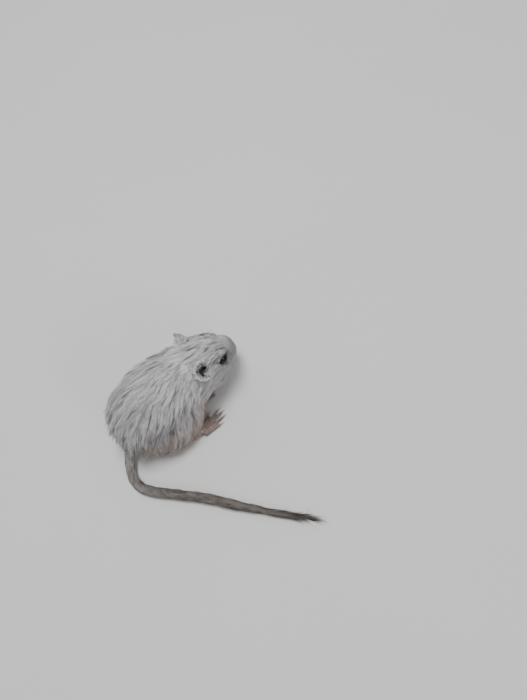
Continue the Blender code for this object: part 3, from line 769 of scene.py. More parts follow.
def mesh_arrays(mesh: bpy.types.Mesh) -> tuple[np.ndarray, np.ndarray, np.ndarray]:
    """The vertices in millimetres, triangles and edges of a mesh in metres."""
    points = np.empty(len(mesh.vertices) * 3, np.float32)
    mesh.vertices.foreach_get("co", points)
    mesh.calc_loop_triangles()
    faces = np.empty(len(mesh.loop_triangles) * 3, np.int32)
    mesh.loop_triangles.foreach_get("vertices", faces)
    edges = np.empty(len(mesh.edges) * 2, np.int32)
    mesh.edges.foreach_get("vertices", edges)
    return points.reshape(-1, 3).astype(float) / MM, faces.reshape(-1, 3), edges.reshape(-1, 2)


def applied(piece: bpy.types.Object, keep: bool = False) -> bpy.types.Mesh:
    """The mesh of an object with its modifiers applied.

    Args:
        piece: The object.
        keep: Whether the object stays in the scene.

    Returns:
        The finished mesh.
    """
    graph = bpy.context.evaluated_depsgraph_get()
    mesh = bpy.data.meshes.new_from_object(piece.evaluated_get(graph))
    if not keep:
        bpy.data.objects.remove(piece, do_unlink=True)
    return mesh


def tree_of(points: np.ndarray) -> KDTree:
    """A search tree over places."""
    tree = KDTree(len(points))
    for index, place in enumerate(points.tolist()):
        tree.insert(place, index)
    tree.balance()
    return tree


def nearest_in(tree: KDTree, points: np.ndarray) -> np.ndarray:
    """The number of the tree's place nearest to each point."""
    return np.array([tree.find(place)[1] for place in points.tolist()])


def vertex_normals(points: np.ndarray, faces: np.ndarray) -> np.ndarray:
    """Unit normals at the vertices of a triangle mesh."""
    corners = points[faces]
    crossed = np.cross(corners[:, 1] - corners[:, 0], corners[:, 2] - corners[:, 0])
    found = np.zeros_like(points)
    for k in range(3):
        for axis in range(3):
            found[:, axis] += np.bincount(faces[:, k], crossed[:, axis], len(points))
    return unit(found)


def rod(rows: np.ndarray, sides: int) -> bmesh.types.BMesh:
    """A closed round rod.

    Args:
        rows: Places and radii along it.
        sides: How many sides it has.

    Returns:
        Its shape.
    """
    bm = bmesh.new()
    ways = unit(np.gradient(rows[:, :3], axis=0))
    rings = []
    for row, way in zip(rows, ways):
        turn = Vector(way).to_track_quat("Z", "Y").to_matrix().to_4x4()
        place = Matrix.Translation(Vector(row[:3])) @ turn
        made = bmesh.ops.create_circle(bm, segments=sides, radius=float(row[3]), matrix=place)
        rings.append({edge for vertex in made["verts"] for edge in vertex.link_edges})
    for near, far in zip(rings, rings[1:]):
        bmesh.ops.bridge_loops(bm, edges=list(near | far))
    bmesh.ops.holes_fill(bm, edges=[edge for edge in bm.edges if edge.is_boundary])
    bmesh.ops.recalc_face_normals(bm, faces=bm.faces)
    return bm


@dataclass
class Strands:
    """Many tapered strands made from arrays: tufts, whiskers or claws."""

    routes: np.ndarray
    widths: np.ndarray
    facing: np.ndarray
    section: np.ndarray

    def __post_init__(self) -> None:
        """Works out the vertices, triangles and shading normals."""
        self.count, self.steps = self.routes.shape[0], self.routes.shape[1] - 1
        self.sides = len(self.section)
        ways = np.diff(self.routes, axis=1)
        ways[:, 1:] = unit(ways[:, 1:]) + unit(ways[:, :-1])
        across = unit(np.cross(ways, self.facing[:, None, :]))
        over = unit(np.cross(across, ways))
        aside, upward = self.section[None, None, :, :1], self.section[None, None, :, 1:]
        ring = across[:, :, None, :] * aside + over[:, :, None, :] * upward
        places = self.routes[:, :-1, None, :] + ring * self.widths[:, :, None, None]
        body = places.reshape(self.count, -1, 3)
        self.points = np.concatenate([body, self.routes[:, -1:, :]], axis=1).reshape(-1, 3)
        rings = ring.reshape(self.count, -1, 3)
        self.outward = np.concatenate([rings, over[:, -1:, :]], axis=1).reshape(-1, 3)
        self.faces = self.triangles()

    def triangles(self) -> np.ndarray:
        """The triangles of every strand."""
        sides, steps = self.sides, self.steps
        one = []
        for step in range(steps - 1):
            for k in range(sides):
                j = (k + 1) % sides
                a, b, c, d = step * sides + k, step * sides + j, (step + 1) * sides + j, (step + 1) * sides + k
                one += [(a, b, c), (a, c, d)]
        last, tip = (steps - 1) * sides, steps * sides
        one += [(last + k, last + (k + 1) % sides, tip) for k in range(sides)]
        one += [(0, k + 1, k) for k in range(1, sides - 1)]
        first = np.arange(self.count) * (steps * sides + 1)
        return (np.array(one)[None, :, ::-1] + first[:, None, None]).reshape(-1, 3)

    def along(self) -> np.ndarray:
        """The share of its strand's length at each vertex."""
        one = np.append(np.repeat(np.arange(self.steps) / self.steps, self.sides), 1.0)
        return np.tile(one, self.count)

    def each(self, values: np.ndarray) -> np.ndarray:
        """Values of the strands handed to all of their vertices."""
        return np.repeat(values, self.steps * self.sides + 1, axis=0)


@dataclass(frozen=True)
class Foot:
    """One foot: its toes' root on the floor, the way it points, and each toe's place, length and splay."""

    side: str
    root: tuple[float, float, float]
    turn: float
    toes: tuple[tuple[float, float, float], ...]
    thickness: float
    claw_length: float

    def ways(self) -> tuple[np.ndarray, np.ndarray]:
        """The way the foot points and the way across it, towards the outer side."""
        turn, sign = math.radians(self.turn), SIDES[self.side]
        forward = np.array((math.cos(turn), sign * math.sin(turn), 0.0))
        return forward, np.array((-math.sin(turn), sign * math.cos(turn), 0.0))

    def lines(self, rows: tuple, length_of: float | None = None) -> list[np.ndarray]:
        """Lines along every toe.

        Args:
            rows: The share along, the height and the radius of each point, in toe lengths and thicknesses.
            length_of: The length that the shares are of, beyond the toe's tip, or None for the toe's own.

        Returns:
            Places and radii for each toe.
        """
        forward, across = self.ways()
        table = np.array(rows)
        found = []
        for place, length, splay in self.toes:
            angle = math.radians(splay)
            way = forward * math.cos(angle) + across * math.sin(angle)
            start = np.array(self.root) + across * place
            if length_of is not None:
                start = start + way * length
            reach = length if length_of is None else length_of
            line = start + way * (table[:, :1] * reach) + UP_WORLD * (table[:, 1:2] * self.thickness)
            found.append(np.column_stack([line, table[:, 2] * self.thickness]))
        return found


@dataclass(frozen=True)
class FootPlan:
    """The sizes of the feet, hind and fore."""

    anatomy: Anatomy
    hind_heel: tuple[float, float, float] = (-11.0, 12.6, 14.8)
    hind_turn: tuple[float, float] = (11.0, 20.0)
    hind_toe_turn: tuple[float, float] = (-4.0, -17.0)
    hind_span: float = 14.4
    hind_thickness: float = 0.88
    hind_toes: tuple[tuple[float, float, float], ...] = (
        (-2.7, 4.2, -24.0),
        (-1.8, 8.4, -6.0),
        (-0.35, 9.4, -1.0),
        (1.1, 8.8, 4.0),
        (2.45, 6.2, 10.0),
    )
    fore_palm: tuple[float, float] = (11.6, 6.2)
    fore_start: float = 1.4
    fore_turn: float = -6.0
    fore_thickness: float = 0.66
    fore_toes: tuple[tuple[float, float, float], ...] = (
        (-1.4, 2.6, -20.0),
        (-0.5, 3.3, -6.0),
        (0.5, 3.3, 6.0),
        (1.4, 2.6, 20.0),
    )
    hind_claw: float = 1.35
    fore_claw: float = 1.0

    def feet(self) -> dict[str, Foot]:
        """Every foot by the name of its solid."""
        table = np.array(self.anatomy.midline)
        found = {}
        for k, (side, sign) in enumerate(SIDES.items()):
            x, out = self.hind_heel[0], self.hind_heel[1 + k]
            y = np.interp(x, table[:, 0], table[:, 1]) + sign * out
            turn = self.hind_turn[k]
            root = self.on_floor(x, y, turn, sign, self.hind_span)
            toes = tuple((place, length, splay + self.hind_toe_turn[k]) for place, length, splay in self.hind_toes)
            foot = Foot(side, root, turn, toes, self.hind_thickness, self.hind_claw)
            found["hind_foot_" + side] = foot
            x, out = self.fore_palm
            y = np.interp(x, table[:, 0], table[:, 1]) + sign * out
            root = self.on_floor(x, y, self.fore_turn, sign, self.fore_start)
            paw = Foot(side, root, self.fore_turn, self.fore_toes, self.fore_thickness, self.fore_claw)
            found["forepaw_" + side] = paw
        return found

    def on_floor(self, x: float, y: float, turn: float, sign: float, reach: float) -> tuple[float, float, float]:
        """A place on the floor some way along a foot.

        Args:
            x: The foot's start along X.
            y: The foot's start along Y.
            turn: How far it turns out, in degrees.
            sign: 1 for the left side and -1 for the right.
            reach: The way along it.

        Returns:
            The place in the solids' frame.
        """
        angle = math.radians(turn)
        start = self.anatomy.origin()
        along, across = x + math.cos(angle) * reach, y + sign * math.sin(angle) * reach
        return (float(start[0] + along), float(start[1] + across), 0.0)


@dataclass(frozen=True)
class EarForm:
    """The curled cup of an ear, in distances behind, beside and above the nose tip."""

    anatomy: Anatomy
    side: str
    places: tuple[tuple[float, float, float], ...] = ((23.5, 8.7, 8.1), (23.4, 8.0, 6.9))
    axes: tuple[tuple[float, float, float], ...] = ((-3.9, 4.4, 6.4), (-4.6, 3.4, 4.6))
    turn_up: float = 0.75
    length: float = 10.0
    root_depth: float = 2.6
    wide: float = 4.6
    narrow: float = 2.0
    bell: float = 0.85
    opens: float = 1.5

    def root(self) -> np.ndarray:
        """The middle of the ear's root."""
        back, out, up = self.places[list(SIDES).index(self.side)]
        return self.anatomy.on_head(back, SIDES[self.side] * out, up)

    def ways(self) -> tuple[np.ndarray, np.ndarray]:
        """The way to the ear's tip and the way out of its cup."""
        forward, left, over = self.anatomy.head_axes()
        sign = SIDES[self.side]
        back, out, up = self.axes[list(SIDES).index(self.side)]
        tip = unit(forward * back + left * sign * out + over * up)
        across = over - left * sign * self.turn_up
        across = unit(across - tip * (across @ tip))
        cup = unit(np.cross(tip, across))
        return tip, cup if cup @ forward > 0 else -cup

    def measure(self, points: np.ndarray, normals: np.ndarray) -> tuple[np.ndarray, np.ndarray, np.ndarray]:
        """Where places lie in the ear.

        Args:
            points: The places.
            normals: The skin's normals there.

        Returns:
            The share of the ear's length, the distance from the line through its cup, and how much the skin
            faces that line.
        """
        tip, cup = self.ways()
        local = points - self.root()
        share = (local @ tip + self.root_depth) / self.length
        opening = np.sin(np.clip(share * self.opens, 0.0, 1.0) * math.pi / 2)
        radius = self.narrow + (self.wide - self.narrow) * opening
        to_line = cup[None] * ((radius - self.narrow) * self.bell)[:, None] - local
        to_line = to_line - tip[None] * (to_line @ tip)[:, None]
        return share, np.linalg.norm(to_line, axis=1), (unit(to_line) * normals).sum(axis=1)

    def pit(self, points: np.ndarray) -> tuple[np.ndarray, np.ndarray]:
        """How far places lie along the ear from its root, and from the line through its pit."""
        tip, _ = self.ways()
        local = points - self.root()
        along = local @ tip
        return along, np.linalg.norm(local - tip[None] * along[:, None], axis=1)


@dataclass
class Skin:
    """The one skin under the coat, made from copies of the flesh solids."""

    anatomy: Anatomy
    course: TailCourse
    plan: FootPlan
    closing: float = 0.25
    toe_closing: float = 0.04
    voxel: float = 0.27
    tail_sides: int = 28
    toe_sides: int = 12
    toe_lap: float = 0.3
    least_share: float = 0.02
    most_triangles: int = 185000
    lid_clearance: float = 0.06
    lid_reach: float = 3.5
    toe_rows: tuple[tuple[float, float, float], ...] = (
        (-0.35, 1.35, 1.1),
        (-0.1, 1.4, 0.98),
        (0.2, 1.32, 0.8),
        (0.42, 1.22, 0.86),
        (0.6, 1.0, 0.7),
        (0.8, 0.86, 0.76),
        (0.98, 0.66, 0.56),
    )
    mouth: tuple[tuple[float, float, float], ...] = (
        (0.2, 0.1, -1.3),
        (1.2, 1.7, -2.0),
        (2.8, 3.6, -2.6),
        (4.8, 5.1, -3.1),
        (6.8, 6.2, -3.3),
    )
    nostril: tuple[tuple[float, float, float], ...] = ((-0.7, 0.75, 0.9), (0.1, 1.3, 0.75))
    cleft: tuple[tuple[float, float, float], ...] = ((-0.6, 0.0, -0.2), (0.2, 0.0, -1.4))
    canthus: tuple[tuple[float, float, float], ...] = ((15.2, 8.25, 7.65), (15.6, 8.35, 7.55), (16.4, 8.35, 7.68))
    tear_duct: tuple[tuple[float, float, float], ...] = ((11.2, 6.6, 9.2), (10.3, 6.07, 9.62), (9.56, 5.58, 9.52))
    ear_notch: tuple[tuple[float, float, float], ...] = ((21.5, 9.3, 5.5), (23.0, 10.0, 4.6), (25.6, 10.6, 2.2))
    ear_lift: tuple[float, float, float] = (1.2, -0.5, 0.05)
    fills: tuple[tuple[float, float, float, float, float], ...] = (
        (24.9, 8.0, 25.1, 4.2, 1.8),
        (36.5, 2.0, 14.3, 4.2, 1.1),
        (6.3, -10.2, 5.6, 4.2, -1.5),
        (14.0, 10.4, 25.0, 4.6, 2.8),
        (6.5, 13.3, 26.2, 5.5, 0.8),
        (-8.0, 17.0, 25.0, 6.0, -1.1),
    )
    ear_corner: tuple[float, float, float] = (19.3, 14.3, 30.8)
    corner_pull: tuple[float, float, float] = (1.0, -2.4, -0.1)
    corner_reach: float = 3.2

    def build(self) -> bpy.types.Object:
        """Makes the skin with all that the coat needs to know of it.

        Returns:
            The skin's object.
        """
        self.ears = {side: EarForm(self.anatomy, side) for side in SIDES}
        self.gather()
        self.label()
        self.points = self.anatomy.shifted(self.points)
        self.measure_coat()
        self.soften()
        self.draw_in()
        self.carve_face()
        self.lay_coat()
        return self.dress()

    def gather(self) -> None:
        """Joins pushed-out copies of the solids, toes, lids and a tail rod into one closed surface."""
        scale = Matrix.Scale(1 / MM, 4)
        feet = self.plan.feet()
        joined = bmesh.new()
        self.owners: list[tuple[int, float]] = []
        for node, region in FLESH_NODES.items():
            bm = bmesh.new()
            bm.from_mesh(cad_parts[node].data)
            bmesh.ops.transform(bm, matrix=scale, verts=bm.verts)
            bmesh.ops.remove_doubles(bm, verts=bm.verts, dist=0.002)
            if node in feet:
                self.trim_toes(bm, feet[node])
            self.add_swollen(joined, bm, region, self.closing)
        for node, foot in feet.items():
            for line in foot.lines(self.toe_rows):
                toe = rod(smooth_course(tuple(map(tuple, line)), 3), self.toe_sides)
                self.add_swollen(joined, toe, FLESH_NODES[node], self.toe_closing)
        for side in SIDES:
            self.add_swollen(joined, self.lid_cover(side), Region.HEAD, self.closing)
        tail = rod(self.course.core(self.anatomy), self.tail_sides)
        self.add_swollen(joined, tail, Region.TAIL, self.closing)
        self.source_tree = BVHTree.FromBMesh(joined)
        raw = object_of("skin_source", joined)
        remesh = raw.modifiers.new("remesh", "REMESH")
        remesh.mode = "VOXEL"
        remesh.voxel_size = self.voxel * MM
        mesh = applied(raw)
        self.points, self.faces, self.edges = mesh_arrays(mesh)
        bpy.data.meshes.remove(mesh)
        self.drop_scraps()

    def trim_toes(self, bm: bmesh.types.BMesh, foot: Foot) -> None:
        """Cuts a foot's solid off where its toes start."""
        forward, _ = foot.ways()
        place = np.array(foot.root) - forward * self.toe_lap
        everything = bm.verts[:] + bm.edges[:] + bm.faces[:]
        bmesh.ops.bisect_plane(bm, geom=everything, plane_co=place, plane_no=forward, clear_outer=True)
        bmesh.ops.holes_fill(bm, edges=[edge for edge in bm.edges if edge.is_boundary])
        bmesh.ops.triangulate(bm, faces=bm.faces)

    def lid_cover(self, side: str) -> bmesh.types.BMesh:
        """The upper lid as a ball over the eye, cut off at the lid's straight edge."""
        bm = bmesh.new()
        bmesh.ops.create_uvsphere(bm, u_segments=36, v_segments=24, radius=self.anatomy.eye_radius() + 0.42)
        middle = Vector(self.anatomy.eye_centre(side))
        bmesh.ops.translate(bm, vec=middle, verts=bm.verts)
        way = Vector(self.anatomy.brow_way(side))
        edge = middle + way * self.anatomy.brow_out
        everything = bm.verts[:] + bm.edges[:] + bm.faces[:]
        bmesh.ops.bisect_plane(bm, geom=everything, plane_co=edge, plane_no=way, clear_outer=True)
        bmesh.ops.holes_fill(bm, edges=[found for found in bm.edges if found.is_boundary])
        bmesh.ops.triangulate(bm, faces=bm.faces)
        return bm

    def add_swollen(
        self, joined: bmesh.types.BMesh, bm: bmesh.types.BMesh, region: Region, closing: float
    ) -> None:
        """Adds a shape, pushed out a little, to the joined one.

        Args:
            joined: The joined shape.
            bm: The shape to add, which is freed.
            region: The region that it belongs to.
            closing: How far it is pushed out.
        """
        bm.normal_update()
        for vertex, normal in [(v, v.normal.copy()) for v in bm.verts]:
            vertex.co += normal * closing
        mesh = bpy.data.meshes.new("swollen")
        bm.to_mesh(mesh)
        self.owners += [(region.value, closing)] * len(bm.faces)
        bm.free()
        joined.from_mesh(mesh)
        bpy.data.meshes.remove(mesh)

    def drop_scraps(self) -> None:
        """Keeps the surfaces that hold more than a small share of the vertices."""
        label = np.arange(len(self.points))
        a, b = self.edges[:, 0], self.edges[:, 1]
        while True:
            low = np.minimum(label[a], label[b])
            before = label.copy()
            np.minimum.at(label, a, low)
            np.minimum.at(label, b, low)
            label = label[label]
            if (label == before).all():
                break
        names, counts = np.unique(label, return_counts=True)
        kept = np.isin(label, names[counts > self.least_share * len(label)])
        number = np.cumsum(kept) - 1
        self.faces = number[self.faces[kept[self.faces].all(axis=1)]]
        self.edges = number[self.edges[kept[self.edges].all(axis=1)]]
        self.points = self.points[kept]

    def label(self) -> None:
        """Finds the region of each vertex, and how far along the tail it lies."""
        nearest = np.array([self.source_tree.find_nearest(point)[2] for point in self.points.tolist()])
        owners = np.array(self.owners)[nearest]
        self.region = owners[:, 0].astype(int)
        self.swelling = owners[:, 1]
        _, self.tail_share = distance_to(self.points, self.course.rows(self.anatomy)[:, :3])
        self.normals = vertex_normals(self.points, self.faces)

    def inside(self, *regions: Region) -> np.ndarray:
        """A share for each vertex, 1 inside the regions."""
        return np.isin(self.region, [region.value for region in regions]).astype(float)

    def eye_gap(self) -> np.ndarray:
        """The distance of each vertex from the middle of the nearer eye."""
        gaps = [np.linalg.norm(self.points - self.anatomy.eye_centre(side), axis=1) for side in SIDES]
        return np.minimum(*gaps)

    def measure_coat(self) -> None:
        """The coat's depth, length, width, density and clumping at each vertex."""
        names = ("depth", "length", "width", "density", "clump")
        styles = [COAT_STYLES[region] for region in Region]
        table = np.array([[getattr(style, name) for name in names] for style in styles])
        values = table[self.region]
        head = self.region == Region.HEAD.value
        back = self.anatomy.head_places(self.points)[:, 0]
        rows = np.array(HEAD_COAT)
        for k in range(4):
            values[head, k] = np.interp(back[head], rows[:, 0], rows[:, k + 1])
        values = spread(values, self.edges, 16, 0.5)
        near = (1 - blend(self.lid_reach + 0.3, self.lid_reach + 3.0, self.eye_gap()))[:, None]
        values = values * (1 - near) + np.array(LID_COAT) * near
        self.depth, self.length, self.width, self.density, self.clump = values.T

    def soften(self) -> None:
        """Smooths the facets away, and fills the creases of the body, where the coat is deep."""
        deep = blend(0.25, 1.0, self.depth)
        body = spread(self.inside(Region.TORSO, Region.THIGH), self.edges, 20, 0.5)
        self.points = spread(self.points, self.edges, 6, 0.35)
        self.points = spread(self.points, self.edges, 50, 0.5 * deep)
        self.fill_creases(blend(0.3, 0.9, body), 14)
        gap = self.eye_gap()
        brow = np.zeros(len(self.points))
        for side in SIDES:
            over = (self.points - self.anatomy.eye_centre(side)) @ self.anatomy.brow_way(side)
            brow = np.maximum(brow, blend(self.anatomy.brow_out + 0.4, self.anatomy.brow_out - 0.4, over))
        self.fill_creases(brow * blend(2.9, 3.3, gap) * (1 - blend(6.0, 8.0, gap)), 5)
        self.points = spread(self.points, self.edges, 12, 0.5 * blend(0.3, 0.9, body))
        self.points = spread(self.points, self.edges, 26, 0.5 * self.inside(Region.EAR))
        share, _, _ = self.ears["left"].measure(self.points, self.normals)
        raised = self.inside(Region.EAR) * blend(0.3, 0.9, share) * (self.points[:, 1] > self.anatomy.origin()[1])
        self.points = self.points + raised[:, None] * np.array(self.ear_lift)
        gap = np.linalg.norm(self.points - self.anatomy.origin() - self.ear_corner, axis=1)
        pulled = np.exp(-((gap / self.corner_reach) ** 2)) * self.inside(Region.EAR)
        self.points = self.points + pulled[:, None] * np.array(self.corner_pull)
        self.normals = vertex_normals(self.points, self.faces)
        for x, y, z, reach, amount in self.fills:
            gap = np.linalg.norm(self.points - self.anatomy.origin() - (x, y, z), axis=1)
            swell = amount * np.exp(-((gap / reach) ** 2)) * (1 - self.inside(Region.EAR))
            self.points = self.points + self.normals * swell[:, None]
        self.normals = vertex_normals(self.points, self.faces)

    def fill_creases(self, share: np.ndarray, rounds: int) -> None:
        """Raises hollows towards their surroundings, and nothing else.

        Args:
            share: How far at each vertex.
            rounds: How many times.
        """
        edges = self.edges[(share > 0)[self.edges].any(axis=1)]
        for _ in range(rounds):
            self.normals = vertex_normals(self.points, self.faces)
            moved = spread(self.points, edges, 10, 0.5) - self.points
            rise = np.maximum((moved * self.normals).sum(axis=1), 0.0) * share
            self.points = self.points + self.normals * rise[:, None]

    def draw_in(self) -> None:
        """Draws the surface in by what it was pushed out and the coat's depth."""
        even = unit(spread(self.normals, self.edges, 3, 0.5))
        self.points = self.points - even * (self.swelling + self.depth)[:, None]
        self.points[:, 2] = np.maximum(self.points[:, 2], FLOOR_CLEARANCE)
        self.points = spread(self.points, self.edges, 2, 0.3)
        self.normals = vertex_normals(self.points, self.faces)

    def carve_face(self) -> None:
        """Cuts the line of the mouth and the nostrils, and brings the lids' inner edge onto the eyes. The cuts and
        the ear canals are darkened with painted shade, and so is the lids' edge, which also has its own dark rim.
        """
        # How much painted shade darkens each place: in the creases, the ear canals and at the lids' edge, which also
        # has its own dark rim.
        self.dark = np.zeros(len(self.points))
        for side in SIDES.values():
            self.crease(self.face_line(self.mouth, side), 0.36, 0.5, 0.5)
            self.crease(self.face_line(self.nostril, side), 0.33, 0.75, 1.0)
            self.crease(self.face_line(self.canthus, side), 0.3, 0.15, 0.95)
            self.crease(self.face_line(self.tear_duct, side), 0.32, 0.18, 0.95)
            self.crease(self.face_line(self.ear_notch, side), 0.5, 0.45, 0.75)
        self.crease(self.face_line(self.cleft, 1.0), 0.25, 0.3, 0.35)
        radius = self.anatomy.eye_radius() + self.lid_clearance
        for side in SIDES:
            from_eye = self.points - self.anatomy.eye_centre(side)
            gap = np.linalg.norm(from_eye, axis=1)
            inner = (gap < self.lid_reach) & ((self.normals * from_eye).sum(axis=1) < 0.3 * gap)
            inner &= from_eye @ self.anatomy.brow_way(side) > self.anatomy.brow_out - 0.3
            self.points[inner] = self.anatomy.eye_centre(side) + from_eye[inner] / gap[inner, None] * radius
            facing = unit(from_eye) @ self.anatomy.gaze(side)
            rim = (1 - blend(0.2, 0.75, gap - self.anatomy.eye_radius())) * blend(0.0, 0.3, facing)
            self.dark = np.maximum(self.dark, 0.75 * rim)
        self.normals = vertex_normals(self.points, self.faces)
        for ear in self.ears.values():
            along, gap = ear.pit(self.points)
            # Painted shade darkens the pit of each ear.
            canal_shade = 0.85 * (1 - blend(0.5, 1.5, gap)) * (1 - blend(1.0, 3.0, along)) * blend(-4.5, -3.0, along)
            self.dark = np.maximum(self.dark, canal_shade)

    def face_line(self, rows: tuple, side: float) -> np.ndarray:
        """A line on the face, mirrored to a side and moved with the muzzle."""
        line = [self.anatomy.on_head(back, side * out, up) for back, out, up in rows]
        return self.anatomy.shifted(np.array(line))

    def crease(self, route: np.ndarray, width: float, depth: float, darkness: float) -> None:
        """Presses a line into the skin and darkens it with painted shade.

        Args:
            route: The line's corners.
            width: How far the crease reaches to each side.
            depth: How deep it is at its middle.
            darkness: How much painted shade darkens it there.
        """
        gap, _ = distance_to(self.points, route)
        share = np.exp(-((gap / width) ** 2))
        self.points -= self.normals * (share * depth)[:, None]
        self.dark = np.maximum(self.dark, share * darkness)

    def lay_coat(self) -> None:
        """The way the hair lies at each vertex, from the nose back and down to the feet and the tail's tip."""
        anatomy = self.anatomy
        forward, left, over = anatomy.head_axes()
        around, side = anatomy.round_the_body(self.points)
        local = self.points - anatomy.origin()
        fall = np.interp(around, (0, 35, 70, 100, 130, 180), (0.05, 0.5, 1.15, 2.1, 1.3, 0.0))
        fall += 1.3 * (1 - blend(-25.0, -14.0, local[:, 0]))
        lie = np.zeros_like(self.points)
        lie[:, 0] = -1.0
        lie[:, 1] = side * 0.12
        lie[:, 2] = -fall
        places = anatomy.head_places(self.points)
        head_fall = 0.55 * blend(3.0, 9.0, np.abs(places[:, 1])) * blend(4.0, 14.0, places[:, 0])
        on_head = -forward[None] - over[None] * head_fall[:, None]
        on_head = on_head + left[None] * (0.15 * np.sign(places[:, 1]))[:, None]
        self.take(lie, on_head, Region.HEAD)
        for node, foot in self.plan.feet().items():
            mine = (side > 0) == (foot.side == "left")
            way = np.where(mine[:, None], foot.ways()[0] - UP_WORLD * 0.1, lie)
            self.take(lie, way, FLESH_NODES[node])
        self.take(lie, np.tile((1.0, 0.0, -0.9), (len(lie), 1)), Region.FORELEG)
        for name, ear in self.ears.items():
            mine = np.sign(places[:, 1]) == SIDES[name]
            self.take(lie, np.where(mine[:, None], ear.ways()[0], lie), Region.EAR)
        rows = self.course.rows(anatomy)
        ways = unit(np.gradient(rows[:, :3], axis=0))
        step = np.clip((self.tail_share * (len(rows) - 1)).round().astype(int), 0, len(rows) - 1)
        self.take(lie, ways[step], Region.TAIL)
        lie = flat_on(lie, self.normals)
        for _ in range(5):
            lie = flat_on(spread(lie, self.edges, 8, 0.5), self.normals)
        self.lie = self.part_round_eyes(lie)

    def take(self, lie: np.ndarray, ways: np.ndarray, region: Region) -> None:
        """Sets the lie inside a region."""
        mine = self.region == region.value
        lie[mine] = ways[mine]

    def part_round_eyes(self, lie: np.ndarray) -> np.ndarray:
        """Turns the hair beside each eye away from it."""
        for side in SIDES:
            from_eye = self.points - self.anatomy.eye_centre(side)
            axis = self.anatomy.gaze(side)
            out = unit(from_eye - axis[None] * (from_eye @ axis)[:, None])
            near = 1 - blend(3.2, 6.0, np.linalg.norm(from_eye, axis=1))
            inward = np.minimum((lie * out).sum(axis=1), 0.0)
            lie = lie + out * (near * (0.6 - inward))[:, None]
        return flat_on(lie, self.normals)

    def dress(self) -> bpy.types.Object:
        """The skin's object with its attributes and material."""
        self.furred = self.furred_share()
        pattern = CoatPattern(self.anatomy)
        shade = pattern.shade(self) * self.furred + pattern.bare_shade(self) * (1 - self.furred)
        whole = object_from("skin_whole", self.points, self.faces)
        paint(whole, "hide", np.column_stack([self.furred, self.dark, np.clip(shade, 0, 1)]))
        group = whole.vertex_groups.new(name="coarse")
        plain = blend(0.5, 1.0, self.depth) * 100
        for level in range(0, 101, 20):
            chosen = np.flatnonzero(np.round(plain / 20) * 20 == level)
            group.add(chosen.tolist(), max(level / 100, 0.02), "REPLACE")
        thin = whole.modifiers.new("thin", "DECIMATE")
        thin.ratio = min(1.0, self.most_triangles / len(self.faces))
        thin.vertex_group = group.name
        thin.vertex_group_factor = 1.0
        mesh = applied(whole)
        mesh.shade_smooth()
        skin = bpy.data.objects.new("skin", mesh)
        bpy.context.scene.collection.objects.link(skin)
        return finish_piece(skin, HIDE.build(), tuple(FLESH_NODES) + TAIL_NODES)

    def furred_share(self) -> np.ndarray:
        """How furred each vertex is: bare on the nose, in the ears' pits and on the feet."""
        nose = self.anatomy.shifted(self.anatomy.on_head(-0.2, 0.0, 0.3)[None])
        bare = 1 - blend(0.9, 2.0, np.linalg.norm(self.points - nose, axis=1))
        bare = bare + self.inside(Region.FOREPAW, Region.HIND_FOOT) * 0.9
        bare = np.maximum(bare, self.ear_pit())
        for side in SIDES.values():
            gap = np.linalg.norm(self.points - self.anatomy.on_head(19.0, side * 7.3, 8.2), axis=1)
            bare = np.maximum(bare, 0.45 * np.exp(-((gap / 1.5) ** 2)))
        return 1 - np.clip(spread(bare, self.edges, 2, 0.5), 0, 1)

    def ear_pit(self) -> np.ndarray:
        """A share of 1 in the bare lower part of the ears' cups."""
        found = np.zeros(len(self.points))
        for ear in self.ears.values():
            share, gap, inward = ear.measure(self.points, self.normals)
            low = (1 - blend(0.2, 0.45, share)) * blend(-0.15, 0.05, share)
            found = np.maximum(found, low * (1 - blend(2.6, 4.3, gap)) * blend(-0.3, 0.3, inward))
            along, off_line = ear.pit(self.points)
            found = np.maximum(found, (1 - blend(1.3, 1.9, off_line)) * (1 - blend(1.0, 3.0, along)))
        return found


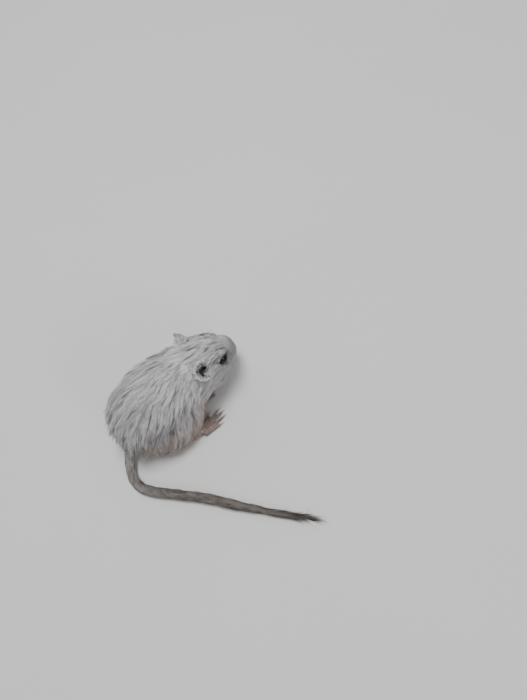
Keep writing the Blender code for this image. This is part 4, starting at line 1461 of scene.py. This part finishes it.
@dataclass(frozen=True)
class CoatPattern:
    """The markings, as shade and warmth, the same for the skin and the coat, with painted shade and light mixed into
    the shade.
    """

    anatomy: Anatomy
    tail_shades: tuple[tuple[float, float], ...] = (
        (0.0, 0.55),
        (0.12, 0.45),
        (0.22, 0.34),
        (0.35, 0.2),
        (0.6, 0.14),
        (0.75, 0.08),
        (1.0, 0.03),
    )
    # A line of painted shade in the muzzle's crease, behind, beside and above the nose tip.
    muzzle_fold_shade: tuple[tuple[float, float, float], ...] = (
        (5.0, 2.0, 6.4),
        (5.0, 3.35, 5.4),
        (5.6, 4.55, 4.6),
        (7.0, 5.75, 4.3),
    )
    tear_strip: tuple[tuple[float, float, float], ...] = ((6.4, 2.0, 7.4), (8.2, 4.6, 8.2), (9.3, 7.0, 5.4))

    def shade(self, skin: Skin) -> np.ndarray:
        """How light the coat is at each vertex of the skin, with painted shade among its markings."""
        points = skin.points
        around, _ = self.anatomy.round_the_body(points)
        places = self.anatomy.head_places(points)
        # Darker down the flanks towards the belly: partly the coat's own tone, partly painted shade where the low
        # flank turns away from the light.
        light = np.interp(around, (0, 45, 75, 100, 125, 160), (0.62, 0.57, 0.43, 0.31, 0.26, 0.35))
        light += 0.05 * ripple(points, 14.0, 3) + 0.03 * ripple(points, 6.0, 4)
        crown = skin.inside(Region.HEAD) * blend(4.0, 9.0, places[:, 2]) * (1 - blend(20.0, 30.0, places[:, 0]))
        head = skin.inside(Region.HEAD)
        light -= 0.26 * crown * blend(6.0, 11.0, places[:, 0])
        light += head * (0.14 + 0.2 * (1 - blend(1.0, 6.0, places[:, 2])))
        # Painted light and shade: the right ear is lighter, against the shade in its cup, and the left ear a little
        # darker.
        light += skin.inside(Region.EAR) * np.where(places[:, 1] < 0, 0.26, -0.05)
        # Painted shade: darker towards the rump, most on its lower side.
        rear = 1 - blend(-12.0, 6.0, points[:, 0] - self.anatomy.origin()[0])
        light -= rear * (0.12 + 0.16 * blend(30.0, 70.0, around))
        # Painted shade along the muzzle's crease on each side, and a lighter strip beside each eye.
        for side in SIDES.values():
            for line, width, amount in ((self.muzzle_fold_shade, 0.8, -0.08), (self.tear_strip, 0.8, 0.1)):
                route = np.array([self.anatomy.on_head(back, side * out, up) for back, out, up in line])
                gap, _ = distance_to(points, route)
                light += amount * np.exp(-((gap / width) ** 2))
        tail = skin.inside(Region.TAIL)
        on_tail = np.interp(skin.tail_share, *np.array(self.tail_shades).T)
        light = light * (1 - tail) + tail * (on_tail + 0.04 * ripple(points, 6.0, 5))
        return spread(light, skin.edges, 8, 0.5)

    def bare_shade(self, skin: Skin) -> np.ndarray:
        """How light the bare skin is: palest on the nose, darkest in the ears, with painted light on the upward
        faces of the toes.
        """
        places = self.anatomy.head_places(skin.points)
        feet = skin.inside(Region.FOREPAW, Region.HIND_FOOT)
        # Painted light: the toes are lighter where they face up.
        toes = feet * blend(0.2, 1.6, skin.normals[:, 2] + 0.5 * ripple(skin.points, 1.6, 12))
        nose = 1 - blend(2.0, 5.0, places[:, 0])
        paws = 0.2 * skin.inside(Region.FOREPAW)
        return 0.25 + 0.3 * toes + paws + 0.55 * nose * (1 - feet)

    def warmth(self, skin: Skin) -> np.ndarray:
        """How warm the coat's tint is at each vertex of the skin."""
        points = skin.points
        around, _ = self.anatomy.round_the_body(points)
        local = points - self.anatomy.origin()
        body = 1 - skin.inside(Region.HEAD, Region.TAIL, Region.EAR)
        warm = 0.65 * blend(78.0, 120.0, around) * body
        warm += 0.45 * blend(2.0, 12.0, local[:, 0]) * blend(50.0, 85.0, around) * body
        warm += 0.3 * skin.inside(Region.FORELEG, Region.FOREPAW, Region.HIND_FOOT)
        warm += 0.05 * np.clip(ripple(points, 9.0, 6), 0, 1)
        warm += 0.1 * skin.inside(Region.TAIL)
        return spread(warm, skin.edges, 12, 0.5)


@dataclass
class Unwrap:
    """Places on an unwrap of the skin's own shape, for the coat's bake map."""

    skin: bpy.types.Object
    triangles: int = 9000
    island_angle: float = 66.0
    margin: float = 0.004

    def __post_init__(self) -> None:
        """Unwraps a coarse copy of the skin."""
        copy = bpy.data.objects.new("unwrap", self.skin.data.copy())
        bpy.context.scene.collection.objects.link(copy)
        coarse = copy.modifiers.new("coarse", "DECIMATE")
        coarse.ratio = self.triangles / len(copy.data.polygons)
        copy.data = applied(copy, keep=True)
        copy.modifiers.clear()
        bpy.context.view_layer.objects.active = copy
        bpy.ops.object.select_all(action="DESELECT")
        copy.select_set(True)
        bpy.ops.object.mode_set(mode="EDIT")
        bpy.ops.mesh.select_all(action="SELECT")
        bpy.ops.uv.smart_project(angle_limit=math.radians(self.island_angle), island_margin=self.margin)
        bpy.ops.object.mode_set(mode="OBJECT")
        mesh = copy.data
        self.points, self.faces, _ = mesh_arrays(mesh)
        layer = np.empty(len(mesh.loops) * 2, np.float32)
        mesh.uv_layers.active.data.foreach_get("uv", layer)
        loops = np.empty(len(mesh.loop_triangles) * 3, np.int32)
        mesh.loop_triangles.foreach_get("loops", loops)
        self.corners = layer.reshape(-1, 2)[loops].reshape(-1, 3, 2)
        self.tree = BVHTree.FromPolygons(self.points.tolist(), self.faces.tolist())
        bpy.data.objects.remove(copy, do_unlink=True)

    def at(self, points: np.ndarray) -> np.ndarray:
        """The unwrapped places of points near the skin.

        Args:
            points: The places in millimetres.

        Returns:
            Their places on the unwrap.
        """
        found = [self.tree.find_nearest(point) for point in points.tolist()]
        spots = np.array([spot[0][:] for spot in found])
        face = np.array([spot[2] for spot in found])
        a, b, c = (self.points[self.faces[face, k]] for k in range(3))
        square = np.linalg.norm(np.cross(b - a, c - a), axis=1) + 1e-12
        near_b = np.linalg.norm(np.cross(spots - a, c - a), axis=1) / square
        near_c = np.linalg.norm(np.cross(b - a, spots - a), axis=1) / square
        shares = np.column_stack([1 - near_b - near_c, near_b, near_c])
        return (self.corners[face] * np.clip(shares, 0, 1)[:, :, None]).sum(axis=1)


@dataclass
class Coat:
    """The fur: thin tufts rooted in the skin, which lie along it and draw together in locks."""

    skin: Skin
    piece: bpy.types.Object
    pattern: CoatPattern
    seed: int = 41
    section: tuple[tuple[float, float], ...] = ((-1.0, -0.2), (1.0, -0.2), (0.0, 0.55))
    patch: float = 0.003
    most_in_piece: int = 19500
    sunk: float = 0.12
    leader_share: float = 0.115
    lock_steps: int = 3
    lock_step: float = 0.17
    relief: float = 0.3
    # How much lighter the ridges of the locks are and darker their partings, partly painted shade.
    streak: float = 0.34
    pit_clearance: tuple[float, float] = (1.0, 1.3)
    pit_margin: float = 0.1
    tail_streak: float = 0.5
    facing_up: float = 0.15
    ear_root: float = 0.6
    ear_facing: float = 0.5
    tuft_spread: float = 0.22
    eye_clearance: float = 3.4
    corner_clearance: float = 0.42

    def build(self) -> list[bpy.types.Object]:
        """Grows the tufts and dresses them.

        Returns:
            The coat's pieces.
        """
        self.draw = np.random.default_rng(self.seed)
        self.tree = BVHTree.FromPolygons(self.skin.points.tolist(), self.skin.faces.tolist())
        self.root_tufts()
        self.comb()
        self.part_locks()
        self.lay_tufts()
        self.shade_tufts()
        self.spot = Unwrap(self.piece).at(self.roots)
        fur, tail_fur = COAT_FUR.build(), TAIL_FUR.build()
        groups = {
            "head": (Region.HEAD, Region.EAR),
            "torso": (Region.TORSO,),
            "limbs": (Region.THIGH, Region.FORELEG, Region.FOREPAW, Region.HIND_FOOT),
            "tail": (Region.TAIL,),
        }
        pieces = []
        for name, regions in groups.items():
            mine = np.flatnonzero(np.isin(self.region, [region.value for region in regions]) & self.kept)
            mine = mine[np.argsort(self.roots[mine, 0], kind="stable")]
            parts = max(1, math.ceil(len(mine) / self.most_in_piece))
            for k, chosen in enumerate(np.array_split(mine, parts)):
                tail = name == "tail"
                made = self.tuft_piece(f"coat_{name}_{k + 1}", chosen)
                pieces.append(finish_piece(made, tail_fur if tail else fur))
                log.info("%s: %d tufts", made.name, len(chosen))
        return pieces

    def root_tufts(self) -> None:
        """Draws the places of the roots, as many to each triangle of skin as its density asks."""
        skin = self.skin
        corners = skin.points[skin.faces]
        area = np.linalg.norm(np.cross(corners[:, 1] - corners[:, 0], corners[:, 2] - corners[:, 0]), axis=1) / 2
        density = (skin.density * self.growth())[skin.faces].mean(axis=1)
        wanted = area * density
        counts = np.floor(wanted + self.draw.random(len(wanted))).astype(int)
        face = np.repeat(np.arange(len(counts)), counts)
        first, second = self.draw.random(len(face)), self.draw.random(len(face))
        over = first + second > 1
        first[over], second[over] = 1 - first[over], 1 - second[over]
        self.corner = skin.faces[face]
        self.shares = np.column_stack([1 - first - second, first, second])
        self.roots = self.read(skin.points)
        self.normals = unit(self.read(skin.normals))
        self.facing = self.read(unit(spread(skin.normals, skin.edges, 14, 0.5) + self.facing_up * UP_WORLD))
        self.region = skin.region[self.corner[:, 0]]
        for name, ear in skin.ears.items():
            mine = self.region == Region.EAR.value
            mine &= np.sign(skin.anatomy.head_places(self.roots)[:, 1]) == SIDES[name]
            self.facing[mine] = unit(self.facing[mine] * self.ear_facing + ear.ways()[0] + UP_WORLD)

    def read(self, values: np.ndarray) -> np.ndarray:
        """Values of the skin's vertices at the roots."""
        at = values[self.corner]
        weight = self.shares if at.ndim == 2 else self.shares[:, :, None]
        return (at * weight).sum(axis=1)

    def growth(self) -> np.ndarray:
        """The share of its density that the coat has at each vertex."""
        skin = self.skin
        grown = blend(0.0, 0.6, skin.furred) + 0.35 * skin.inside(Region.FOREPAW, Region.HIND_FOOT)
        grown = np.clip(grown, 0, 1) * (1 - blend(0.3, 0.7, skin.dark))
        grown *= blend(3.1, 3.35, skin.eye_gap())
        under = skin.inside(Region.FOREPAW, Region.HIND_FOOT) * blend(0.0, 0.4, -skin.normals[:, 2])
        return grown * (1 - under) * (skin.points[:, 2] > FLOOR_CLEARANCE * 2)

    def comb(self) -> None:
        """The way that each tuft lies, with a little waviness."""
        lie = flat_on(self.read(self.skin.lie), self.normals)
        sideways = np.cross(self.normals, lie)
        wander = 0.12 * ripple(self.roots, 7.5, 8) + 0.08 * ripple(self.roots, 2.6, 9)
        wander += self.draw.normal(0, 0.07, len(self.roots))
        self.way = unit(lie + sideways * wander[:, None])

    def part_locks(self) -> None:
        """Finds the leader of each tuft, and how proud its lock stands, drawn out along the hair."""
        count = len(self.roots)
        self.stock = self.read(self.skin.length)
        behind = 1 - blend(-28.0, -20.0, self.roots[:, 0] - self.skin.anatomy.origin()[0])
        self.stock *= 1 - 0.4 * behind * blend(-0.1, 0.45, -self.normals[:, 2])
        chosen = np.flatnonzero(self.draw.random(count) < self.leader_share)
        leaders = tree_of(self.roots[chosen])
        self.leader = chosen[nearest_in(leaders, self.roots)]
        value = self.draw.normal(size=count)[self.leader]
        everyone = tree_of(self.roots)
        total = value.copy()
        for sign in (1.0, -1.0):
            place, way = self.roots.copy(), self.way
            for step in range(1, self.lock_steps + 1):
                place = place + way * (sign * self.lock_step * self.stock)[:, None]
                at = nearest_in(everyone, place)
                place = place + self.normals[at] * ((self.roots[at] - place) * self.normals[at]).sum(axis=1)[:, None]
                way = self.way[at]
                total += value[at] * (1 - 0.15 * step)
        self.lock = np.clip(total / total.std(), -2.2, 2.2)

    def lay_tufts(self) -> None:
        """Lays each tuft along the skin, with its tip drawn towards that of its clump."""
        skin, draw = self.skin, self.draw
        count = len(self.roots)
        share = self.read(skin.tail_share)
        tuft = (self.region == Region.TAIL.value) * blend(skin.course.tuft_start - 0.12, 0.88, share)
        ending = blend(0.84, 0.93, share)
        length = self.stock * (draw.uniform(0.75, 1.15, count) + 0.06 * self.lock) * (1 + 1.5 * tuft + 1.2 * tuft * ending)
        depth = self.read(skin.depth)
        stand = self.stand_off() * length * np.clip(0.6 + 0.5 * self.lock, 0.0, 1.6)
        lift = (depth + 0.02 * self.stock) * (0.85 + self.relief * self.lock)
        lift = np.maximum(lift * draw.uniform(0.85, 1.15, count), 0.12)
        middles = self.settle(self.roots + self.way * (0.5 * length)[:, None], lift * 0.8 + stand * 0.35)
        spread_out = 0.3 * lift + self.tuft_spread * length * tuft * (1 - 0.95 * ending)
        free = self.roots + self.way * length[:, None] + self.normals * spread_out[:, None]
        tips = self.settle(self.roots + self.way * length[:, None], lift + stand)
        tips += (free - tips) * blend(0.3, 0.8, tuft)[:, None]
        pull = self.read(skin.clump)[:, None] * draw.uniform(0.7, 1.2, (count, 1))
        shift = tips[self.leader] - tips
        reach = np.linalg.norm(shift, axis=1, keepdims=True)
        shift *= np.minimum(1.0, 0.4 * length[:, None] / np.maximum(reach, 1e-6))
        self.tips = tips + shift * pull
        self.middles = middles + shift * pull * 0.3
        self.starts = self.roots - self.normals * self.sunk
        for points in (self.tips, self.middles, self.starts):
            points[:, 2] = np.maximum(points[:, 2], TUFT_CLEARANCE)
        self.kept = self.clear_of(self.tips) & self.clear_of(self.middles)

    def clear_of(self, points: np.ndarray) -> np.ndarray:
        """Whether places leave the ears' pits and the eyes free."""
        anatomy = self.skin.anatomy
        found = np.ones(len(points), bool)
        for ear, clearance in zip(self.skin.ears.values(), self.pit_clearance):
            along, gap = ear.pit(points)
            found &= (gap > clearance + self.pit_margin * (along < 2.2)) | (np.abs(along) > 5.0)
        for side in SIDES:
            from_eye = points - anatomy.eye_centre(side)
            near = np.linalg.norm(from_eye, axis=1) < self.eye_clearance
            opened = from_eye @ anatomy.brow_way(side) > anatomy.brow_out + 0.1
            found &= ~(near & opened)
        for line in (self.skin.canthus, self.skin.tear_duct):
            for side in SIDES.values():
                gap, _ = distance_to(points, self.skin.face_line(line, side))
                found &= gap > self.corner_clearance
        return found

    def stand_off(self) -> np.ndarray:
        """How far the tips stand off, as a share of their length: most at the rump and the haunches' rear."""
        local = self.roots - self.skin.anatomy.origin()
        furry = np.isin(self.region, (Region.TORSO.value, Region.THIGH.value))
        behind = 1 - blend(-24.0, -8.0, local[:, 0])
        body = furry * (0.07 + 0.3 * behind)
        return body + 0.2 * (self.region == Region.EAR.value) + 0.02 * (self.region == Region.HEAD.value)

    def settle(self, points: np.ndarray, height: np.ndarray) -> np.ndarray:
        """Points moved to a height over the nearest place of the skin."""
        found = [self.tree.find_nearest(point) for point in points.tolist()]
        spots = np.array([spot[0][:] for spot in found])
        normals = np.array([spot[1][:] for spot in found])
        return spots + normals * height[:, None]

    def shade_tufts(self) -> None:
        """The shade, warmth and half width of each tuft."""
        skin, draw = self.skin, self.draw
        count = len(self.roots)
        shade = self.read(self.pattern.shade(skin))
        around, _ = skin.anatomy.round_the_body(self.roots)
        back, _, up = skin.anatomy.head_places(self.roots).T
        head = self.region == Region.HEAD.value
        crown = blend(3.0, 8.0, up) * blend(7.0, 13.0, back)
        strength = np.where(head, 0.3 + 0.8 * crown, 0.5 + 0.5 * blend(20.0, 55.0, around))
        strength[self.region == Region.TAIL.value] = self.tail_streak
        # Tufts on the ridges of the locks are lighter and those in the partings darker: partly the darker under-fur,
        # partly painted shade in the partings.
        shade += self.streak * strength * np.minimum(self.lock, 0.9) + draw.normal(0, 0.05, count)
        self.shade = np.clip(shade, 0, 1)
        self.warmth = np.clip(self.read(self.pattern.warmth(skin)) + draw.normal(0, 0.04, count), 0, 1)
        self.half = 0.5 * self.read(skin.width) * draw.uniform(0.75, 1.25, count)

    def tuft_piece(self, name: str, chosen: np.ndarray) -> bpy.types.Object:
        """One piece of the coat.

        Args:
            name: The piece's name.
            chosen: Which tufts it holds.

        Returns:
            The object, with its attributes and its bake map.
        """
        routes = np.stack([self.starts[chosen], self.middles[chosen], self.tips[chosen]], axis=1)
        widths = self.half[chosen, None] * np.array((1.0, 0.85))
        strands = Strands(routes, widths, self.normals[chosen], np.array(self.section))
        piece = object_from(name, strands.points, strands.faces)
        soft = unit(strands.each(self.facing[chosen]) + 0.5 * unit(strands.outward))
        piece.data.normals_split_custom_set_from_vertices(soft.tolist())
        short = self.ear_root * (self.region[chosen] == Region.EAR.value)
        along = np.maximum(strands.along(), strands.each(short))
        values = np.column_stack([strands.each(self.shade[chosen]), strands.each(self.warmth[chosen]), along])
        paint(piece, "coat", values)
        self.map_patches(piece, strands, self.spot[chosen])
        return piece

    def map_patches(self, piece: bpy.types.Object, strands: Strands, spots: np.ndarray) -> None:
        """Gives each tuft its patch on the unwrap, at its root's place.

        Args:
            piece: The coat's piece.
            strands: Its strands.
            spots: The roots' places on the unwrap.
        """
        across = np.append(np.tile((0.0, 1.0, 0.5), strands.steps), 0.5)
        local = np.column_stack([np.tile(across, strands.count), strands.along()]) - 0.5
        places = strands.each(spots) + local * self.patch
        uv = places[strands.faces.ravel()].reshape(-1, 3, 2)
        base = np.arange(len(uv)) % (len(uv) // strands.count) == len(uv) // strands.count - 1
        uv[base, 2, 1] += self.patch / 4
        layer = piece.data.uv_layers.new(name=BAKE_MAP)
        layer.data.foreach_set("uv", np.clip(uv, 0, 1).astype(np.float32).ravel())


@dataclass
class Eye:
    """An eyeball with a slightly proud cornea, and the dark margin of its lids."""

    anatomy: Anatomy
    side: str
    cornea_reach: float = math.radians(48.0)
    cornea_rise: float = 0.12
    lid_opening: float = math.radians(69.0)
    rim_radius: float = 0.15
    rim_steps: int = 72
    rim_sides: int = 10

    def build(self) -> list[bpy.types.Object]:
        """The ball and its lid margin."""
        return [self.ball(), self.margin()]

    def placing(self) -> Matrix:
        """The turn and place that set +Z along the gaze, from the eye's middle."""
        gaze = Vector(self.anatomy.gaze(self.side))
        middle = Vector(self.anatomy.eye_centre(self.side))
        return Matrix.Translation(middle) @ gaze.to_track_quat("Z", "Y").to_matrix().to_4x4()

    def ball(self) -> bpy.types.Object:
        """The glossy eyeball."""
        radius = self.anatomy.eye_radius()
        bm = bmesh.new()
        bmesh.ops.create_uvsphere(bm, u_segments=64, v_segments=40, radius=radius)
        for vertex in bm.verts:
            turn = vertex.co.angle(Vector((0, 0, 1)))
            if turn < self.cornea_reach:
                vertex.co *= 1 + self.cornea_rise / radius * math.cos(turn / self.cornea_reach * math.pi / 2) ** 2
        local = np.array([vertex.co[:] for vertex in bm.verts])
        bmesh.ops.transform(bm, matrix=self.placing(), verts=bm.verts)
        piece = object_of("eyeball_" + self.side, bm)
        out = np.clip(np.arccos(np.clip(unit(local)[:, 2], -1, 1)) / math.radians(75.0), 0, 1)
        around = np.arctan2(local[:, 1], local[:, 0])
        streak = 0.25 + 0.2 * np.sin(around * 23) * np.sin(around * 9 + 1)
        paint(piece, "gaze", np.column_stack([out, streak, streak]))
        return finish_piece(piece, EYE_WET.build(), ("eye_" + self.side,))

    def rim_line(self) -> np.ndarray:
        """The closed line of the lids' edge over the eyeball, round below and straight above."""
        gaze, brow = self.anatomy.gaze(self.side), self.anatomy.brow_way(self.side)
        radius = self.anatomy.eye_radius() + self.rim_radius * 0.4
        middle = unit(gaze + brow)
        aside = unit(np.cross(middle, UP_WORLD))
        upward = np.cross(aside, middle)
        tilts = np.linspace(0.0, math.pi * 0.6, 400)[:, None]
        found = []
        for angle in np.linspace(0.0, math.tau, self.rim_steps, endpoint=False):
            spoke = aside * math.cos(angle) + upward * math.sin(angle)
            ways = middle * np.cos(tilts) + spoke * np.sin(tilts)
            open_here = (ways @ gaze > math.cos(self.lid_opening)) & (ways @ brow > self.anatomy.brow_out / radius)
            last = int(np.argmin(open_here))
            found.append(ways[last] * radius)
        line = np.array(found)
        for _ in range(2):
            line = (np.roll(line, 1, axis=0) + 2 * line + np.roll(line, -1, axis=0)) / 4
        return self.anatomy.eye_centre(self.side) + unit(line) * radius

    def margin(self) -> bpy.types.Object:
        """The dark, moist edge of the lids."""
        line = self.rim_line()
        bm = bmesh.new()
        rings = []
        ways = unit(np.roll(line, -1, axis=0) - np.roll(line, 1, axis=0))
        upright = self.anatomy.gaze(self.side)
        for place, way in zip(line, ways):
            side = unit(np.cross(upright, way))
            turn = Matrix((Vector(side), Vector(np.cross(way, side)), Vector(way))).transposed().to_4x4()
            spot = Matrix.Translation(Vector(place)) @ turn
            made = bmesh.ops.create_circle(bm, segments=self.rim_sides, radius=self.rim_radius, matrix=spot)
            rings.append({edge for vertex in made["verts"] for edge in vertex.link_edges})
        for near, far in zip(rings, rings[1:] + rings[:1]):
            bmesh.ops.bridge_loops(bm, edges=list(near | far))
        bmesh.ops.recalc_face_normals(bm, faces=bm.faces)
        piece = object_of("lid_margin_" + self.side, bm)
        # A little of the near-black mix on the lid margin: painted shade where the lids meet the eyes, with their
        # own dark rim.
        paint(piece, "hide", np.tile((0.0, 0.3, 0.5), (len(piece.data.vertices), 1)))
        return finish_piece(piece, LID_SKIN.build())


@dataclass
class Claws:
    """The curved claws of all four feet."""

    plan: FootPlan
    sides: int = 8
    flatness: float = 0.75
    arch: tuple[tuple[float, float, float], ...] = (
        (-0.5, 0.72, 0.34),
        (0.0, 0.9, 0.36),
        (0.5, 0.88, 0.28),
        (0.9, 0.6, 0.17),
        (1.2, 0.2, 0.0),
    )

    def build(self) -> bpy.types.Object:
        """The claws as one piece."""
        lines = []
        for foot in self.plan.feet().values():
            lines += foot.lines(self.arch, foot.claw_length)
        rows = np.array(lines)
        turns = np.arange(self.sides) * math.tau / self.sides
        section = np.column_stack([np.cos(turns) * self.flatness, np.sin(turns)])
        strands = Strands(rows[:, :, :3], rows[:, :-1, 3], np.tile(UP_WORLD, (len(rows), 1)), section)
        piece = object_from("claws", strands.points, strands.faces)
        paint(piece, "coat", np.column_stack([strands.along()] * 3))
        return finish_piece(piece, CLAW_HORN.build())


@dataclass
class Whiskers:
    """Fine whiskers fanned from the sides of the muzzle."""

    anatomy: Anatomy
    rows: int = 4
    in_row: int = 4
    points: int = 8
    sides: int = 5
    root_radius: float = 0.05
    least: float = 6.0
    most: float = 14.0
    seed: int = 5
    muzzle: tuple[tuple[float, float], ...] = ((0.0, 1.5), (3.2, 5.0), (6.0, 7.0), (9.0, 8.3))

    def build(self) -> bpy.types.Object:
        """The whiskers as one piece."""
        forward, left, over = self.anatomy.head_axes()
        draw = np.random.default_rng(self.seed)
        share = np.linspace(0.0, 1.0, self.points)[:, None]
        bend = -forward * 0.28 - over * 0.1
        routes = []
        for side in SIDES.values():
            for row in range(self.rows):
                for k in range(self.in_row):
                    back, up = 2.6 + 1.0 * k, 0.9 - 0.8 * row
                    out = np.interp(back, *np.array(self.muzzle).T) - 0.35
                    root = self.anatomy.shifted(self.anatomy.on_head(back, side * out, up)[None])
                    length = np.interp(k, (0, self.in_row - 1), (self.least, self.most)) * draw.uniform(0.85, 1.1)
                    way = left * side + forward * (0.35 - 0.3 * k) + over * (0.45 - 0.28 * row)
                    way = unit(way + draw.normal(0, 0.05, 3))
                    routes.append(root + way * share * length + bend * share**2 * length)
        routes = np.array(routes)
        routes[:, :, 2] = np.maximum(routes[:, :, 2], 0.3)
        taper = self.root_radius * np.linspace(1.0, 0.3, self.points - 1)
        turns = np.arange(self.sides) * math.tau / self.sides
        section = np.column_stack([np.cos(turns), np.sin(turns)])
        widths = np.tile(taper, (len(routes), 1))
        strands = Strands(routes, widths, np.tile(over, (len(routes), 1)), section)
        piece = object_from("whiskers", strands.points, strands.faces)
        paint(piece, "coat", np.column_stack([strands.along()] * 3))
        return finish_piece(piece, WHISKER_HAIR.build())


@dataclass(frozen=True)
class Studio:
    """A plain pale floor, soft light and the camera of the reference view."""

    anatomy: Anatomy
    camera_from_eye: tuple[float, float, float] = (-35.45, -126.91, 215.77)
    camera_right: tuple[float, float, float] = (0.67018763, -0.70808949, -0.22239115)
    camera_up: tuple[float, float, float] = (0.71537083, 0.53646345, 0.44771815)
    lens: float = 30.34
    floor_size: float = 12.0

    def build(self) -> None:
        """Sets up the floor, the lights, the surroundings and the camera."""
        self.floor()
        self.light("key_light", (0.1, 0.12, 0.96), 0.42, 7.2)
        self.light("fill_light", (0.02, -0.9, 0.42), 0.15, 1.8)
        self.light("back_light", (0.15, 0.9, 0.6), 0.6, 1.4)
        self.surroundings()
        self.camera()

    def floor(self) -> None:
        """The pale floor."""
        bm = bmesh.new()
        bmesh.ops.create_grid(bm, x_segments=2, y_segments=2, size=self.floor_size / 2 / MM)
        plane = object_of("floor", bm)
        plane.data.materials.append(FloorFinish("pale_floor", (0.8, 0.79, 0.78), (0.76, 0.75, 0.74)).build())

    def light(self, name: str, place: tuple[float, float, float], size: float, power: float) -> None:
        """A soft square light that faces the animal.

        Args:
            name: Its name.
            place: Where it stands, in metres.
            size: The length of its side in metres.
            power: Its power in watts.
        """
        data = bpy.data.lights.new(name, "AREA")
        data.size = size
        data.energy = power
        lamp = bpy.data.objects.new(name, data)
        bpy.context.scene.collection.objects.link(lamp)
        lamp.location = place
        lamp.rotation_euler = (-Vector(place)).to_track_quat("-Z", "Y").to_euler()

    def surroundings(self) -> None:
        """An even, faint grey light from all round."""
        world = bpy.data.worlds.new("studio")
        world.use_nodes = True
        background = world.node_tree.nodes["Background"]
        background.inputs["Color"].default_value = (0.89, 0.9, 0.93, 1.0)
        background.inputs["Strength"].default_value = 0.32
        bpy.context.scene.world = world

    def camera(self) -> None:
        """The camera at the reference view."""
        data = bpy.data.cameras.new("camera")
        data.lens = self.lens
        data.sensor_width = 36.0
        data.clip_start = 0.005
        view = bpy.data.objects.new("camera", data)
        bpy.context.scene.collection.objects.link(view)
        right, up = Vector(self.camera_right), Vector(self.camera_up)
        turn = Matrix((right, up, right.cross(up))).transposed().to_4x4()
        place = Vector(self.anatomy.eye_centre("right")) + Vector(self.camera_from_eye)
        view.matrix_world = Matrix.Translation(place * MM) @ turn
        bpy.context.scene.camera = view


def main() -> None:
    """Builds the model's pieces in order."""
    anatomy = Anatomy()
    plan = FootPlan(anatomy)
    skin = Skin(anatomy, TailCourse(), plan)
    hide = skin.build()
    log.info("skin: %d triangles of %d", len(hide.data.polygons), len(skin.faces))
    coat = Coat(skin, hide, CoatPattern(anatomy)).build()
    log.info("coat: %d pieces, %d triangles", len(coat), sum(len(piece.data.polygons) for piece in coat))
    for side in SIDES:
        for piece in Eye(anatomy, side).build():
            log.info("%s: %d faces", piece.name, len(piece.data.polygons))
    for piece in (Claws(plan).build(), Whiskers(anatomy).build()):
        log.info("%s: %d faces", piece.name, len(piece.data.polygons))
    Studio(anatomy).build()


if __name__ == "__main__":
    main()
